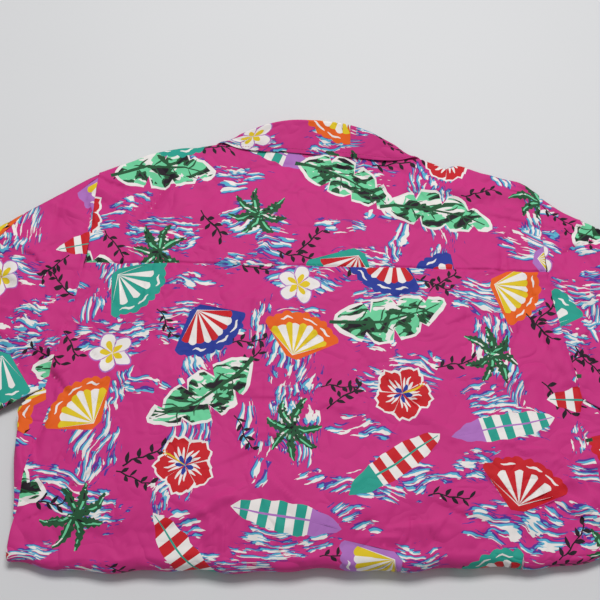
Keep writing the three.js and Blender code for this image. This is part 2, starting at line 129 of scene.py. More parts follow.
# Folds and creases of the top cloth: centre, half length, half width, turn in degrees, height, bend
FOLDS = table("x y long wide turn lift bend", [
    (290, 54, 46, 9, -58, -3.6, 0),
    (279, 76, 40, 9, -52, 4.2, 0),
    (297, 92, 34, 8, -40, -2.8, 0),
    (288, -8, 34, 9, -50, -2.6, 0),
    (300, 20, 40, 12, -50, 3.0, 0),
    (250, 30, 26, 7, -60, 2.6, 0),
    (-186, 96, 62, 12, 70, -2.2, 0),
    (-166, 104, 60, 16, 68, 2.2, 0),
    (-280, -98, 34, 8, -58, -2.6, 0),
    (-268, -88, 36, 9, -58, 2.8, 0),
    (-284, -150, 34, 8, -84, -2.4, 0),
    (-274, -140, 30, 4.2, 84, -6.5, 0),
    (-264, -138, 30, 5, 84, 1.6, 0),
    (160, 127, 90, 9, -6, -1.8, 0),
    (168, 140, 80, 8, -8, 1.8, 0),
    (200, -214, 46, 11, -66, 2.4, 0),
    (182, -222, 44, 11, -60, -2.2, 0),
    (-240, -238, 44, 12, 38, 2.4, 0),
    (-222, -254, 40, 10, 34, -2.2, 0),
    (40, -236, 60, 14, 12, 1.8, 0),
])

# Small bumps and dents of the shoulder's edge: place across, half width, height
SHOULDER_DENTS = table("x half lift", [
    (116, 9, 2.6), (142, 7, -4.6), (162, 9, 2.4), (186, 8, -1.2), (228, 10, 2.4),
    (-112, 10, 1.6), (-140, 9, -1.8), (-196, 12, 1.8),
])

# Finer creases, which only the cloth's surface shows
CREASES = table("x y long wide turn lift bend", [
    (-176, 116, 34, 4, 62, -1.0, 3),
    (-196, 70, 26, 4, 74, -0.8, -2),
    (-230, 128, 22, 4, -20, -0.8, 2),
    (-236, 118, 24, 4, -32, 0.7, 2),
    (-252, 96, 16, 4, -70, -1.2, 0),
    (-272, -70, 26, 4, -62, 1.2, 3),
    (-262, -104, 24, 5, -50, -1.2, 0),
    (-286, -190, 26, 5, -72, 1.2, 3),
    (-262, -206, 40, 5, 58, -1.1, 4),
    (-250, -224, 34, 5, 50, 1.1, 3),
    (-270, -240, 26, 5, 30, -1.2, 0),
    (-226, -206, 30, 5, 44, -0.9, -3),
    (-190, -238, 34, 6, 26, 1.0, 3),
    (-120, -246, 36, 6, 16, -1.0, 3),
    (-90, -226, 44, 7, 30, 0.8, -3),
    (-60, -178, 50, 6, 28, -0.7, 5),
    (-34, -120, 46, 5, 6, -0.8, 6),
    (20, -122, 34, 5, -8, 0.7, -4),
    (76, -98, 40, 5, -42, -0.7, 3),
    (120, -140, 42, 6, -32, 0.7, 4),
    (150, -240, 36, 6, -18, -1.0, 3),
    (96, -250, 34, 6, 8, 0.9, 2),
    (246, -232, 36, 6, -36, -1.1, 3),
    (262, -200, 34, 6, -58, 1.0, 3),
    (238, -40, 44, 6, -78, -1.0, 4),
    (258, -60, 40, 6, -70, 0.9, -3),
    (230, 10, 30, 5, -64, -0.9, 3),
    (236, 64, 26, 5, -48, 0.9, 2),
    (216, 96, 34, 5, -10, -0.8, 2),
    (60, 146, 30, 5, -40, -0.8, 3),
    (30, 160, 36, 6, -8, -0.8, 3),
    (-44, 158, 34, 6, 10, -0.7, -3),
    (-96, 140, 30, 5, 34, -0.7, 3),
    (-110, 80, 34, 6, 58, 0.6, 3),
    (-140, 20, 40, 7, 66, -0.6, 5),
    (10, 40, 34, 6, -62, -0.5, 4),
    (90, 20, 36, 7, -52, 0.5, 4),
    (-330, 60, 40, 8, -36, 1.6, 4),
    (-350, 20, 44, 8, -30, -1.6, 4),
    (-310, 0, 40, 8, -58, 1.4, 4),
    (-380, -40, 46, 8, -50, 1.3, 4),
    (-320, -70, 36, 7, -42, -1.4, 4),
    (340, 60, 44, 8, -34, 1.5, 4),
    (356, 14, 46, 9, -40, -1.5, 4),
    (322, -30, 40, 8, -62, 1.4, 4),
    (386, -30, 46, 8, -52, -1.2, 4),
    (318, -70, 36, 7, -40, 1.3, 4),
])


def together(*parts):
    """Rows of numbers side by side, as the columns of one array."""
    return np.stack(parts, axis=-1)


def clamp01(t):
    return np.clip(t, 0.0, 1.0)


def mix(a, b, t):
    return a + (b - a) * t


def smooth(t):
    return clamp01(t) ** 2 * (3 - 2 * clamp01(t))


def curve(rows, over, at, column):
    """A smooth curve through one column of a table, over another column that rises."""
    xs, ys = rows[over], rows[column]
    last = len(xs) - 1
    rise = ys[np.minimum(last, np.arange(last + 1) + 1)] - ys[np.maximum(0, np.arange(last + 1) - 1)]
    run = xs[np.minimum(last, np.arange(last + 1) + 1)] - xs[np.maximum(0, np.arange(last + 1) - 1)]
    slope = rise / run
    x = np.clip(at, xs[0], xs[-1])
    i = np.clip(np.searchsorted(xs, x, side="left") - 1, 0, last - 1)
    width = xs[i + 1] - xs[i]
    t = (x - xs[i]) / width
    return (
        (2 * t**3 - 3 * t**2 + 1) * ys[i]
        + (t**3 - 2 * t**2 + t) * width * slope[i]
        + (3 * t**2 - 2 * t**3) * ys[i + 1]
        + (t**3 - t**2) * width * slope[i + 1]
    )


# Heights of the cloth

def fold_height(rows, x, y, steep=1.0):
    """Height of soft ridges and troughs, each bent a little along it, and steeper on one side."""
    z = np.zeros_like(x)
    for cx, cy, long, wide, turn, lift, bend in zip(*rows.values()):
        reach = 2.6 * max(long, wide / steep)
        near = np.flatnonzero((np.abs(x - cx) < reach) & (np.abs(y - cy) < reach))
        a = math.radians(turn)
        dx, dy = x[near] - cx, y[near] - cy
        along = (dx * math.cos(a) + dy * math.sin(a)) / long
        across = dy * math.cos(a) - dx * math.sin(a) - bend * along**2
        width = np.where(across > 0, wide * steep, wide / steep)
        z[near] += lift * np.exp(-(along**2) - (across / width) ** 2)
    return z


def crumples(seed, count):
    """Small creases all over the cloth, as rows of the same kind as the main ones."""
    rng = np.random.default_rng(seed)
    x, y = rng.uniform(-430, 430, count), rng.uniform(-285, 205, count)
    edge = smooth((np.abs(x) - 180) / 120) + smooth((-170 - y) / 100)
    long, wide = rng.uniform(9, 30, count), rng.uniform(2.7, 5.2, count)
    lift = rng.choice([-1, 1], count) * rng.uniform(0.42, 1.38, count) * (1 + 0.8 * edge)
    rows = [x, y, long, wide, rng.uniform(-90, 90, count), lift, rng.uniform(-4, 4, count)]
    return dict(zip(CREASES, rows))


CRUMPLES = crumples(8, 420)
CREASE_STEEP = 0.6
CREASE_RISE = 2.8


def ripples(seed, count, wave, lift):
    """Faint uneven ripples that run all ways: place, direction, wave length and height of each."""
    rng = np.random.default_rng(seed)
    place = rng.uniform((-330, -290), (330, 230), (count, 2))
    turn = rng.uniform(0, math.pi, count)
    waves = rng.uniform(0.7, 1.5, count) * wave
    return list(zip(place, turn, waves, rng.uniform(0.4, 1.0, count) * lift))


RIPPLES = ripples(3, 150, 34, 0.9) + ripples(4, 260, 15, 0.34)


def ripple_height(x, y):
    """Sum of the ripples: each is a wave that fades away from its place."""
    z = np.zeros_like(x)
    for (cx, cy), turn, wave, lift in RIPPLES:
        near = np.flatnonzero((np.abs(x - cx) < 5 * wave) & (np.abs(y - cy) < 5 * wave))
        dx, dy = x[near] - cx, y[near] - cy
        across = dx * math.cos(turn) + dy * math.sin(turn)
        along = dy * math.cos(turn) - dx * math.sin(turn)
        fade = np.exp(-((across / wave) ** 2) - (along / (2.2 * wave)) ** 2)
        z[near] += lift * fade * np.cos(math.pi * across / wave)
    return z


def plain_top(x, y):
    """Middle of the topmost cloth without its folds: highest in the middle, lower at the sides."""
    out = np.abs(x)
    crown = mix(1, EDGE_SHARE, smooth((out - CROWN_START) / (CROWN_END - CROWN_START)))
    cuff = mix(1, CUFF_SHARE, smooth((out - CROWN_END) / 100))
    return TABLE + (curve(HEIGHTS, "y", y, "top") - TABLE) * crown * cuff


def sagging_top(x, y):
    """The topmost cloth without its folds, rounded down to the bottom fold."""
    return plain_top(x, y) - FOLD_SAG * clamp01((FOLD_Y + FOLD_ROUND - y) / FOLD_ROUND) ** 2


def under_lift(x, y):
    """How far the collar's fall and the button hold the lowest cloth off the table."""
    ring = np.hypot(x / NECK_HALF, (y - NECK_SIDE_Y) / NECK_FRONT_DROP)
    reach = (ring - 1) * min(NECK_HALF, NECK_FRONT_DROP)
    collar = (LAYER + 1) * (1 - smooth((reach - FALL) / 35))
    near = np.hypot(x, y - BUTTON_Y) / BUTTON_R
    button = BUTTON_RISE * (1 - smooth((near - 1.6) / 1.5))
    return np.where(y > -CORNER, np.maximum(collar, button), 0.0)


def under_level(x, y):
    """Middle of the cloth under the top cloth: on the table, or inside the fold over the hem."""
    beside = 1 - smooth((np.abs(x) - curve(BODY, "y", FOLD_Y, "half") - 4) / 40)
    inside = (1 - CORE_SHARE) * smooth((HEM_Y + 50 - y) / 100) * beside
    return TABLE + under_lift(x, y) + inside * (plain_top(x, y) - TABLE)


def seam_off(x, y):
    """Distances past the yoke's seam and past the seam at the armhole or the side."""
    side = np.where(y > PIT_Y, curve(ARMHOLE, "y", y, "x"), body_edge(y))
    return y - YOKE_SEAM_Y, np.abs(x) - side


YOKE_DITCH = 1.1
SIDE_DITCH = 0.6
DITCH_HALF = 1.1
SEAM_RIDGE = 0.35
PUCKER = 0.25


def seam_height(x, y):
    """The ditch of each seam, the ridge of its turned edges, and puckers along its stitching."""
    z = np.zeros_like(x)
    yoke, side = seam_off(x, y)
    for off, along, here, deep in ((yoke, x, side < 0, YOKE_DITCH), (side, y, 1.0, SIDE_DITCH)):
        uneven = np.sin(along * 0.6 + 2.1 * np.sin(along * 0.043))
        pucker = PUCKER * uneven * np.exp(-((off / 7) ** 2))
        ditch = deep * np.exp(-((off / DITCH_HALF) ** 2))
        ridge = SEAM_RIDGE * np.exp(-(((np.abs(off) - 3) / 2.2) ** 2))
        z += (pucker - ditch + ridge) * here
    return z


def top_level(x, y):
    """Middle of the topmost cloth, always clear of the cloth under it."""
    relief = fold_height(FOLDS, x, y, 0.75) + CREASE_RISE * fold_height(CREASES, x, y, CREASE_STEEP)
    relief += fold_height(CRUMPLES, x, y, CREASE_STEEP) + ripple_height(x, y)
    top = sagging_top(x, y) + relief + seam_height(x, y)
    return np.maximum(top, under_level(x, y) + LAYER + 0.6)


def laid_askew(x, y, z):
    """A place of the shirt as it lies: neck and fold askew, the right shoulder bulged and dropped."""
    neck = smooth((y - 60) / 120) * (1 - 0.4 * smooth((np.abs(x) - 95) / 150))
    foot = smooth((-130 - y) / 150)
    bulge = RIGHT_RISE["lift"] * np.exp(-(((x - RIGHT_RISE["x"]) / RIGHT_RISE["half"]) ** 2))
    drop = RIGHT_DROP["drop"] * smooth((x - RIGHT_DROP["x"]) / RIGHT_DROP["width"])
    rows = zip(*SHOULDER_DENTS.values())
    dents = sum(lift * np.exp(-(((x - at) / half) ** 2)) for at, half, lift in rows)
    laid = y - NECK_SWAY * x * neck + FOLD_SKEW * x * foot + (bulge - drop) * smooth((y - 40) / 80)
    laid = laid + dents * smooth((y - 118) / 40)
    return together(x, laid - MIDDLE_Y, z)


def around_side(across, half):
    """A place across the flattened tube of the body: x, and its share of the way up, 1 on top."""
    flat = half - EDGE_ROLL
    side = np.sign(across)
    angle = (np.abs(across) - flat) / EDGE_ROLL
    turn = np.clip(angle, 0, math.pi)
    beyond = np.maximum(0, angle - math.pi) * EDGE_ROLL
    rolled = side * (flat + EDGE_ROLL * np.sin(turn) - beyond)
    return np.where(angle <= 0, across, rolled), (1 + np.cos(turn)) / 2


# The panels: each is a flat outline in its own plane, and a way to lift a flat place onto the shirt

def body_edge(y, strip_side=-1):
    """Half width of the back, or how far round the side the front reaches."""
    return curve(BODY, "y", y, "half") + strip_side * curve(BODY, "y", y, "strip")


TOP_RUN = YOKE_SEAM_Y - FOLD_Y
FOLD_RUN = 47
UNDER_RUN = HEM_Y - FOLD_Y


def back_edge(run):
    """Half width of the back's cut at a distance down from the yoke seam."""
    y = np.maximum(FOLD_Y, YOKE_SEAM_Y - run)
    return np.where(y > PIT_Y, curve(ARMHOLE, "y", y, "x"), body_edge(y)) - JOIN


def fold_centre(x):
    """The middle of the bottom fold, and its radius."""
    outward = (np.abs(x) - curve(BODY, "y", FOLD_Y, "half") + CORNER) / CORNER
    waver = 1.5 * np.sin(0.045 * x + 1) + 1.2 * np.sin(0.11 * x + 0.4)
    y = FOLD_Y - FOLD_SAG / 2 + CORNER_CUT * smooth(outward) + waver
    radius = (top_level(x, y) - TABLE) / 2
    return y, radius


def lift_back(s, run):
    """The back: down from the yoke seam, round the bottom fold and under to its hem."""
    y = np.maximum(FOLD_Y, YOKE_SEAM_Y - run)
    half = np.where(y > PIT_Y, curve(ARMHOLE, "y", y, "x") + EDGE_ROLL, curve(BODY, "y", y, "half"))
    x, share = around_side(s, half)
    centre, radius = fold_centre(x)
    laid = y + (centre - FOLD_Y) * (1 - smooth((y - FOLD_Y) / 30))
    on_top = laid_askew(x, laid, mix(under_level(x, laid), top_level(x, laid), share))
    angle = math.pi * clamp01((run - TOP_RUN) / FOLD_RUN)
    reach = radius * mix(1 - 2 * CORE_SHARE, 1, share)
    turned = laid_askew(x, centre - reach * np.sin(angle), TABLE + radius + reach * np.cos(angle))
    below = mix(centre, HEM_Y, clamp01((run - TOP_RUN - FOLD_RUN) / UNDER_RUN))
    low = TABLE + (1 - share) * CORE_SHARE * (plain_top(x, below) - TABLE)
    under = laid_askew(x, below, low)
    part = run[:, None]
    return np.where(part <= TOP_RUN, on_top, np.where(part <= TOP_RUN + FOLD_RUN, turned, under))


def neck_back_y(x):
    """Where the yoke meets the collar."""
    columns = {"x": COLLAR["seam_x"][:5], "y": COLLAR["seam_y"][:5]}
    return curve(columns, "x", np.abs(x), "y") - JOIN


def yoke_runs(x):
    """Lengths of the yoke's strips on top, over the shoulder and in all, at a place across it."""
    shoulder = smooth((np.abs(x) - NECK_HALF - 1) / 8)
    top = curve(SHOULDER, "x", np.abs(x), "y") - SHOULDER_ROLL - YOKE_SEAM_Y
    over = top + math.pi * SHOULDER_ROLL + YOKE_FRONT - SHOULDER_ROLL
    return top, mix(neck_back_y(x) - YOKE_SEAM_Y, over, shoulder)


def lift_yoke(x, run):
    """The yoke: up from its seam, and over the shoulders to the front seams."""
    top, _ = yoke_runs(x)
    edge = curve(SHOULDER, "x", np.abs(x), "y") - SHOULDER_ROLL
    angle = np.clip((run - top) / SHOULDER_ROLL, 0, math.pi)
    beyond = np.maximum(0, run - top - math.pi * SHOULDER_ROLL)
    y = np.where(run <= top, YOKE_SEAM_Y + run, edge + SHOULDER_ROLL * np.sin(angle) - beyond)
    return laid_askew(x, y, mix(under_level(x, y), top_level(x, y), (1 + np.cos(angle)) / 2))


def front_inner(side, y):
    """The front's edge at the buttons, drawn in to a strip inside the fold."""
    start = -OVERLAP if side < 0 else JOIN - OVERLAP
    return mix(start, body_edge(y, 0) - 32, smooth((-35 - y) / 45))


def front_outer(y):
    """How far the front reaches: to the armhole, or round the side to the back."""
    around = body_edge(y, 1) + (math.pi - 2) * EDGE_ROLL - JOIN
    above = curve(ARMHOLE, "y", y, "x") - JOIN
    return mix(around, above, smooth((y - PIT_Y) / 8))


def front_top(x):
    """Where the front ends at the neckline or at the shoulder seam."""
    ring = np.maximum(0, 1 - (x / NECK_HALF) ** 2)
    neckline = NECK_SIDE_Y - NECK_FRONT_DROP * np.sqrt(ring) - JOIN
    seam = curve(SHOULDER, "x", np.abs(x), "y") - YOKE_FRONT - JOIN
    return np.where(x < NECK_HALF, np.minimum(neckline, seam), seam)


def lift_front(side, w, y):
    """A front: flat under the shirt, and round the side to show as a strip beside the back."""
    half = np.where(y > PIT_Y, curve(ARMHOLE, "y", y, "x") + EDGE_ROLL, curve(BODY, "y", y, "half"))
    place, share = around_side(2 * (half - EDGE_ROLL) + math.pi * EDGE_ROLL - w, half)
    x = side * place
    lapped = (LAYER + 0.2) * (1 - smooth((place - OVERLAP - 4) / 10)) if side > 0 else 0
    return laid_askew(x, y, mix(under_level(x, y) + lapped * (y > PIT_Y), top_level(x, y), share))


def sleeve_corner(side_y, reach, slope, from_y):
    """Where a cuff ends, from the armhole's height there and the sleeve's length and slope."""
    x = curve(ARMHOLE, "y", from_y, "x") + reach * math.cos(slope)
    return float(x), float(side_y - reach * math.sin(slope))


CUFF_TOP = sleeve_corner(140, SLEEVE_TOP, SLEEVE_SLOPE, 140)
CUFF_UNDER = sleeve_corner(PIT_Y, SLEEVE_UNDER, UNDER_SLOPE, PIT_Y)
ROUND_TURNS = np.linspace(0, math.pi, 721)


def round_section(turn):
    """A sleeve's flattened round section: its share of the way down, and up."""
    c, s = np.cos(turn), np.maximum(0, np.sin(turn))
    return 0.5 - 0.5 * np.sign(c) * np.abs(c) ** 0.55, 0.5 + 0.5 * s**0.35


def section_table():
    """The section's length from the top edge, as a share, for each turn."""
    down, up = round_section(ROUND_TURNS)
    lengths = np.hypot(np.diff(down) * 240, np.diff(up) * 8)
    far = np.concatenate([[0], np.cumsum(lengths)])
    return far / far[-1]


ROUND_SHARES = section_table()


def sleeve_plan(down, out):
    """A sleeve's place seen from above, on the right: down from its top edge, out to the cuff."""
    seam_y = mix(140 - JOIN, PIT_Y + 3, down)
    tuck = 1.6 * smooth((seam_y - 96) / 30) - JOIN
    x = mix(curve(ARMHOLE, "y", seam_y, "x") - tuck, mix(CUFF_TOP[0], CUFF_UNDER[0], down), out)
    return x, mix(seam_y, mix(CUFF_TOP[1], CUFF_UNDER[1], down), out)


def mirror_over_top(x, y):
    """A place of the sleeve's cut mirrored over the sleeve's top edge."""
    ax, ay = (float(v) for v in sleeve_plan(np.array(0.0), np.array(0.0)))
    tx, ty = CUFF_TOP[0] - ax, CUFF_TOP[1] - ay
    share = ((x - ax) * tx + (y - ay) * ty) / (tx * tx + ty * ty)
    return 2 * (ax + share * tx) - x, 2 * (ay + share * ty) - y


def sleeve_shares(x, y):
    """The shares down and out of a place of the cut, and whether it is in the mirrored half."""
    ax, ay = (float(v) for v in sleeve_plan(np.array(0.0), np.array(0.0)))
    tx, ty = CUFF_TOP[0] - ax, CUFF_TOP[1] - ay
    mirrored = (x - ax) * ty - (y - ay) * tx < 0
    mx, my = mirror_over_top(x, y)
    px, py = np.where(mirrored, mx, x), np.where(mirrored, my, y)
    down, out = np.full_like(px, 0.5), np.full_like(px, 0.5)
    for _ in range(12):
        fx, fy = sleeve_plan(down, out)
        h = 0.001
        dx, dy = sleeve_plan(down + h, out)
        ox, oy = sleeve_plan(down, out + h)
        a, b, c, d = (dx - fx) / h, (ox - fx) / h, (dy - fy) / h, (oy - fy) / h
        det = a * d - b * c
        down = np.clip(down + ((px - fx) * d - (py - fy) * b) / det, -0.05, 1.05)
        out = np.clip(out + ((py - fy) * a - (px - fx) * c) / det, -0.05, 1.05)
    return clamp01(down), clamp01(out), mirrored


def lift_sleeve(side, x, y):
    """A sleeve: a flat tube, from a place of its cut laid open along the underarm seam."""
    share, out, mirrored = sleeve_shares(x, y)
    down, up = round_section(np.interp(share, ROUND_SHARES, ROUND_TURNS))
    px, py = sleeve_plan(down, out)
    height = np.where(mirrored, 1 - up, up)
    px = side * px
    return laid_askew(px, py, mix(under_level(px, py), top_level(px, py), height))


COLLAR_STEPS = np.hypot(np.hypot(np.diff(COLLAR["fold_x"]), np.diff(COLLAR["fold_y"])),
                        np.diff(COLLAR["fold_z"]))
COLLAR_FAR = np.concatenate([[0], np.cumsum(COLLAR_STEPS)])
COLLAR_HALF = float(COLLAR_FAR[-1])
STAND = 33
COLLAR_ROLL = 8
COLLAR_WIDE = STAND + COLLAR_ROLL + FALL


def lift_collar(a, b):
    """The collar: along its length, and from the neck seam over its fold to the outer edge."""
    station = np.interp(np.abs(a), COLLAR_FAR, COLLAR["station"])
    side = np.where(a < 0, -1.0, 1.0)
    down = np.interp(b, [0, STAND, STAND + COLLAR_ROLL, COLLAR_WIDE], [0, 0.4, 0.6, 1])

    def read(line):
        x, y, z = (curve(COLLAR, "station", station, f"{line}_{c}") for c in "xyz")
        return together(side * x, y, z)

    seam, fold, edge = read("seam"), read("fold"), read("edge")
    radius = curve(COLLAR, "station", station, "roll")[:, None]
    out = fold - (seam + edge) / 2
    out /= np.linalg.norm(out, axis=1, keepdims=True)
    over = edge - seam
    over -= out * np.sum(over * out, axis=1, keepdims=True)
    over /= np.linalg.norm(over, axis=1, keepdims=True)
    turn = math.pi * clamp01((down - 0.4) / 0.2)[:, None]
    turned = fold - out * radius * (1 - np.sin(turn)) - over * radius * np.cos(turn)
    part = down[:, None]
    stand = mix(seam, turned, clamp01(part / 0.4))
    fall = mix(turned, edge, clamp01((part - 0.6) / 0.4))
    point = np.where(part < 0.4, stand, fall)
    z = np.maximum(TABLE, point[:, 2])
    return laid_askew(point[:, 0], point[:, 1], z)


# The print: motifs are outlines in flat cloth, each with its ink, later ones on top

INKS = {
    "ground": (202, 46, 127),
    "white": (238, 232, 228),
    "sky": (88, 176, 206),
    "violet": (84, 52, 150),
    "mint": (110, 208, 156),
    "green": (34, 84, 52),
    "teal": (36, 158, 140),
    "red": (200, 24, 36),
    "yellow": (226, 196, 30),
    "orange": (232, 96, 20),
    "lilac": (176, 112, 190),
    "navy": (38, 56, 150),
    "black": (30, 18, 30),
}
INK_NAMES = list(INKS)


WAVER = 0.9
REPEAT_ACROSS = 102
REPEAT_DOWN = 84


def hand_drawn(shapes):
    """Outlines with the slight waver of a hand, the same for all that lies at one place."""
    drawn = []
    for outline, ink in shapes:
        x, y = outline[:, 0], outline[:, 1]
        off_x = np.sin(0.29 * y + 1.7 * np.sin(0.11 * x))
        off_y = np.sin(0.33 * x + 1.9 * np.sin(0.13 * y))
        drawn.append((outline + WAVER * together(off_x, off_y), ink))
    return drawn


def placed(shapes, x, y, turn=0.0, size=1.0, flip=1):
    """Shapes turned, scaled and moved to their place; a shape is its outline and its ink."""
    a = math.radians(turn)
    c, s = math.cos(a) * size, math.sin(a) * size
    move = np.array([[c * flip, s * flip], [-s, c]])
    return [(outline @ move + (x, y), ink) for outline, ink in shapes]


def around(x, lower, upper):
    """The outline between two lines over the same places: along one and back along the other."""
    return np.concatenate([together(x, lower), together(x, upper)[::-1]])


def ribbon(length, width, wave=0.0, cycles=1.5, phase=0.0, steps=8, blunt=0.5):
    """The outline of a tapered brush stroke along x, centred, with a wavy line."""
    t = np.linspace(0, 1, steps)
    x = (t - 0.5) * length
    y = wave * np.sin(2 * math.pi * cycles * t + phase)
    half = width / 2 * np.maximum(0.08, np.sin(math.pi * t)) ** blunt
    return around(x, y - half, y + half)


def bent_ribbon(points, widths):
    """The outline of a stroke along a line of points with its own width at each."""
    p = np.array(points, float)
    w = np.array(widths, float)[:, None] / 2
    d = np.gradient(p, axis=0)
    d /= np.linalg.norm(d, axis=1, keepdims=True)
    n = np.stack([-d[:, 1], d[:, 0]], axis=1)
    return np.concatenate([p - n * w, (p + n * w)[::-1]])


def petal(long, wide, ruffle, steps=12, start=0.0):
    """A petal along x with a ruffled end."""
    t = np.linspace(0, 1, steps)
    a = (t - 0.5) * math.pi
    x = long * (0.52 + 0.48 * np.cos(a)) * (1 + ruffle * np.sin(9 * a + start))
    y = wide / 2 * np.sin(a) * (1 + ruffle * np.cos(7 * a + start))
    outline = together(x, y)
    return np.concatenate([[[0.04 * long, -0.03 * wide]], outline, [[0.04 * long, 0.03 * wide]]])


def dot(radius, sides=6):
    a = np.arange(sides) / sides * 2 * math.pi
    return together(np.cos(a), np.sin(a)) * radius


def hibiscus(fill, streak, heart, rim):
    """A five-petalled flower with streaked petals and a long stamen, 1 across its radius."""
    shapes = []
    for k in range(5):
        parts = [(petal(1.08, 1.04, 0.05, 14, k), rim), (petal(1.0, 0.9, 0.05, 14, k), fill)]
        for lean, reach in ((-17, 0.66), (0, 0.8), (17, 0.66)):
            mark = ribbon(reach * 0.8, 0.09, 0.015, 1.0, lean, 6) + (reach * 0.5, 0)
            parts += placed([(mark, streak)], 0, 0, lean)
        shapes += placed(parts, 0, 0, 72 * k + 20)
    for k in range(5):
        shapes += placed([(petal(0.36, 0.16, 0.0, 5), heart)], 0, 0, 72 * k + 20)
    shapes += placed([(ribbon(0.82, 0.075, 0.03, 0.5, 0, 7) + (0.41, 0), "yellow")], 0, 0, 56)
    for along, off in ((0.62, 0.07), (0.7, -0.06), (0.76, 0.07), (0.84, -0.03), (0.88, 0.06)):
        shapes += placed(placed([(dot(0.035), "orange")], along, off), 0, 0, 56)
    return shapes


def plumeria(fill, inner, edge):
    """Five rounded petals in a pinwheel."""
    shapes = []
    for k in range(5):
        parts = [(petal(1.04, 0.76, 0, 9) + (0, -0.01), edge), (petal(0.98, 0.66, 0, 9), fill)]
        parts.append((petal(0.56, 0.3, 0, 7) + (0, 0.02), inner))
        shapes += placed(parts, 0, 0, 72 * k - 12)
    return shapes


def leaf_edge(notches, grow):
    """Half the outline of a long leaf: its width at places along it, cut in at each notch."""
    t = np.linspace(0, 1, 25)
    half = 0.42 * np.sin(math.pi * t**0.85) ** 0.75 + grow
    for at, depth in notches:
        half -= depth * np.exp(-(((t - at) / 0.025) ** 2)) * half
    return t * 2 - 1, np.maximum(half, 0.02)


def painted_leaf():
    """A long torn leaf, painted in patches within a pale rim, 2 long."""
    shapes = []
    for grow, ink in ((0.05, "white"), (0.0, "mint")):
        x, upper = leaf_edge(((0.25, 0.45), (0.5, 0.6), (0.75, 0.4)), grow)
        _, lower = leaf_edge(((0.33, 0.5), (0.58, 0.35), (0.83, 0.5)), grow)
        bend = 0.16 * (1 - x**2)
        outline = around(x, bend - lower, bend + upper)
        shapes.append((outline * (1 + grow, 1), ink))
    t = np.linspace(-1.12, 0.9, 9)
    rib = together(t, 0.16 * (1 - t**2))
    shapes.append((bent_ribbon(rib, np.linspace(0.075, 0.02, 9)), "green"))
    for k, at in enumerate((-0.6, -0.25, 0.1, 0.45)):
        for side in (-1, 1):
            vein = (ribbon(0.3, 0.03, 0.02, 0.6, k, 5) + (0.16, 0), "green")
            shapes += placed([vein], at, 0.16 * (1 - at**2), side * 48)
    return shapes


def frond(dark, light, reach=1.0, bend=0.22):
    """A palm frond: a curved blade with a toothed edge, and a light rib."""
    t = np.linspace(0, 1, 13)
    line = together(t * reach, bend * np.sin(math.pi * 0.75 * t))
    teeth = np.where(np.arange(13) % 2 == 0, 1.0, 0.6)
    blade = bent_ribbon(line, 0.3 * np.sin(math.pi * (0.12 + 0.84 * t)) * teeth + 0.02)
    return [(blade, dark), (bent_ribbon(line[::2] + (0, 0.03), np.linspace(0.08, 0.03, 7)), light)]


def fronds(dark, light, tip):
    """A tuft of palm fronds that spread from one point."""
    shapes = []
    for k, turn in enumerate((-38, 8, 52, 96, 142, 188, 232)):
        bend = 0.2 if 96 <= turn < 300 else -0.2
        shapes += placed(frond(dark, tip if k == 3 else light, 0.85 + 0.07 * (k % 3), bend), 0, 0, turn)
    return shapes


def surfboard(board, stripe, nose):
    """A surfboard: a pointed oval with bars across it, a nose of one colour and a line down it, 2 long."""
    t = np.linspace(-1, 1, 25)
    half = 0.25 * (1 - np.abs(t) ** 2.6) ** 0.8 + 0.004
    outline = around(t, -half, half)
    shapes = [(outline, board)]

    def bar(first, last, ink):
        at = t[(t >= first - 0.001) & (t <= last + 0.001)]
        width = np.interp(at, t, half)
        return around(at, -width, width), ink

    for first in (2, 6, 10, 14):
        shapes.append(bar(t[first], t[first + 2], stripe))
    shapes.append(bar(t[17], 1.0, nose))
    shapes.append((ribbon(1.9, 0.035, 0, 0, 0, 5, 0.3), "white" if board != "white" else nose))
    return shapes


def shell(stripe, fill, base):
    """A fan shell: radial stripes within a broad scalloped band of one colour."""
    count = 9
    spread = math.radians(112)
    a = np.linspace(-spread / 2, spread / 2, count * 4 + 1)
    rim = 1 + 0.05 * np.abs(np.sin((a / spread + 0.5) * count * math.pi))
    ray = together(np.cos(a), np.sin(a))
    whole = np.concatenate([[[-0.08, -0.12]], ray * rim[:, None], [[-0.08, 0.12]]])
    inner = ray * (0.74 * rim)[:, None]
    shapes = [(whole, base), (np.concatenate([[[0.0, 0.0]], inner]), fill)]
    for k in range(0, count, 2):
        shapes.append((np.concatenate([[[0.02, 0.0]], inner[k * 4 : k * 4 + 5]]), stripe))
    for k, turn in enumerate((-34, -8, 26)):
        gleam = ribbon(0.3, 0.05, 0.02, 1.2, k, 6) @ np.array([[0, 1], [-1, 0]]) + (0.89, 0)
        shapes += placed([(gleam, "white")], 0, 0, turn)
    return shapes


def sprig():
    """A thin dark twig with small leaves, 2 long."""
    x = np.linspace(-1, 1, 9)
    shapes = [(bent_ribbon(together(x, 0.1 * np.sin(2.4 * x)), [0.075] * 9), "black")]
    for k, at in enumerate(np.linspace(-0.75, 0.95, 7)):
        leaf = (ribbon(0.44, 0.2, 0, 0, 0, 6, 0.8) + (0.25, 0), "black")
        shapes += placed([leaf], at, 0.1 * math.sin(2.4 * at), 52 if k % 2 else -52)
    return shapes


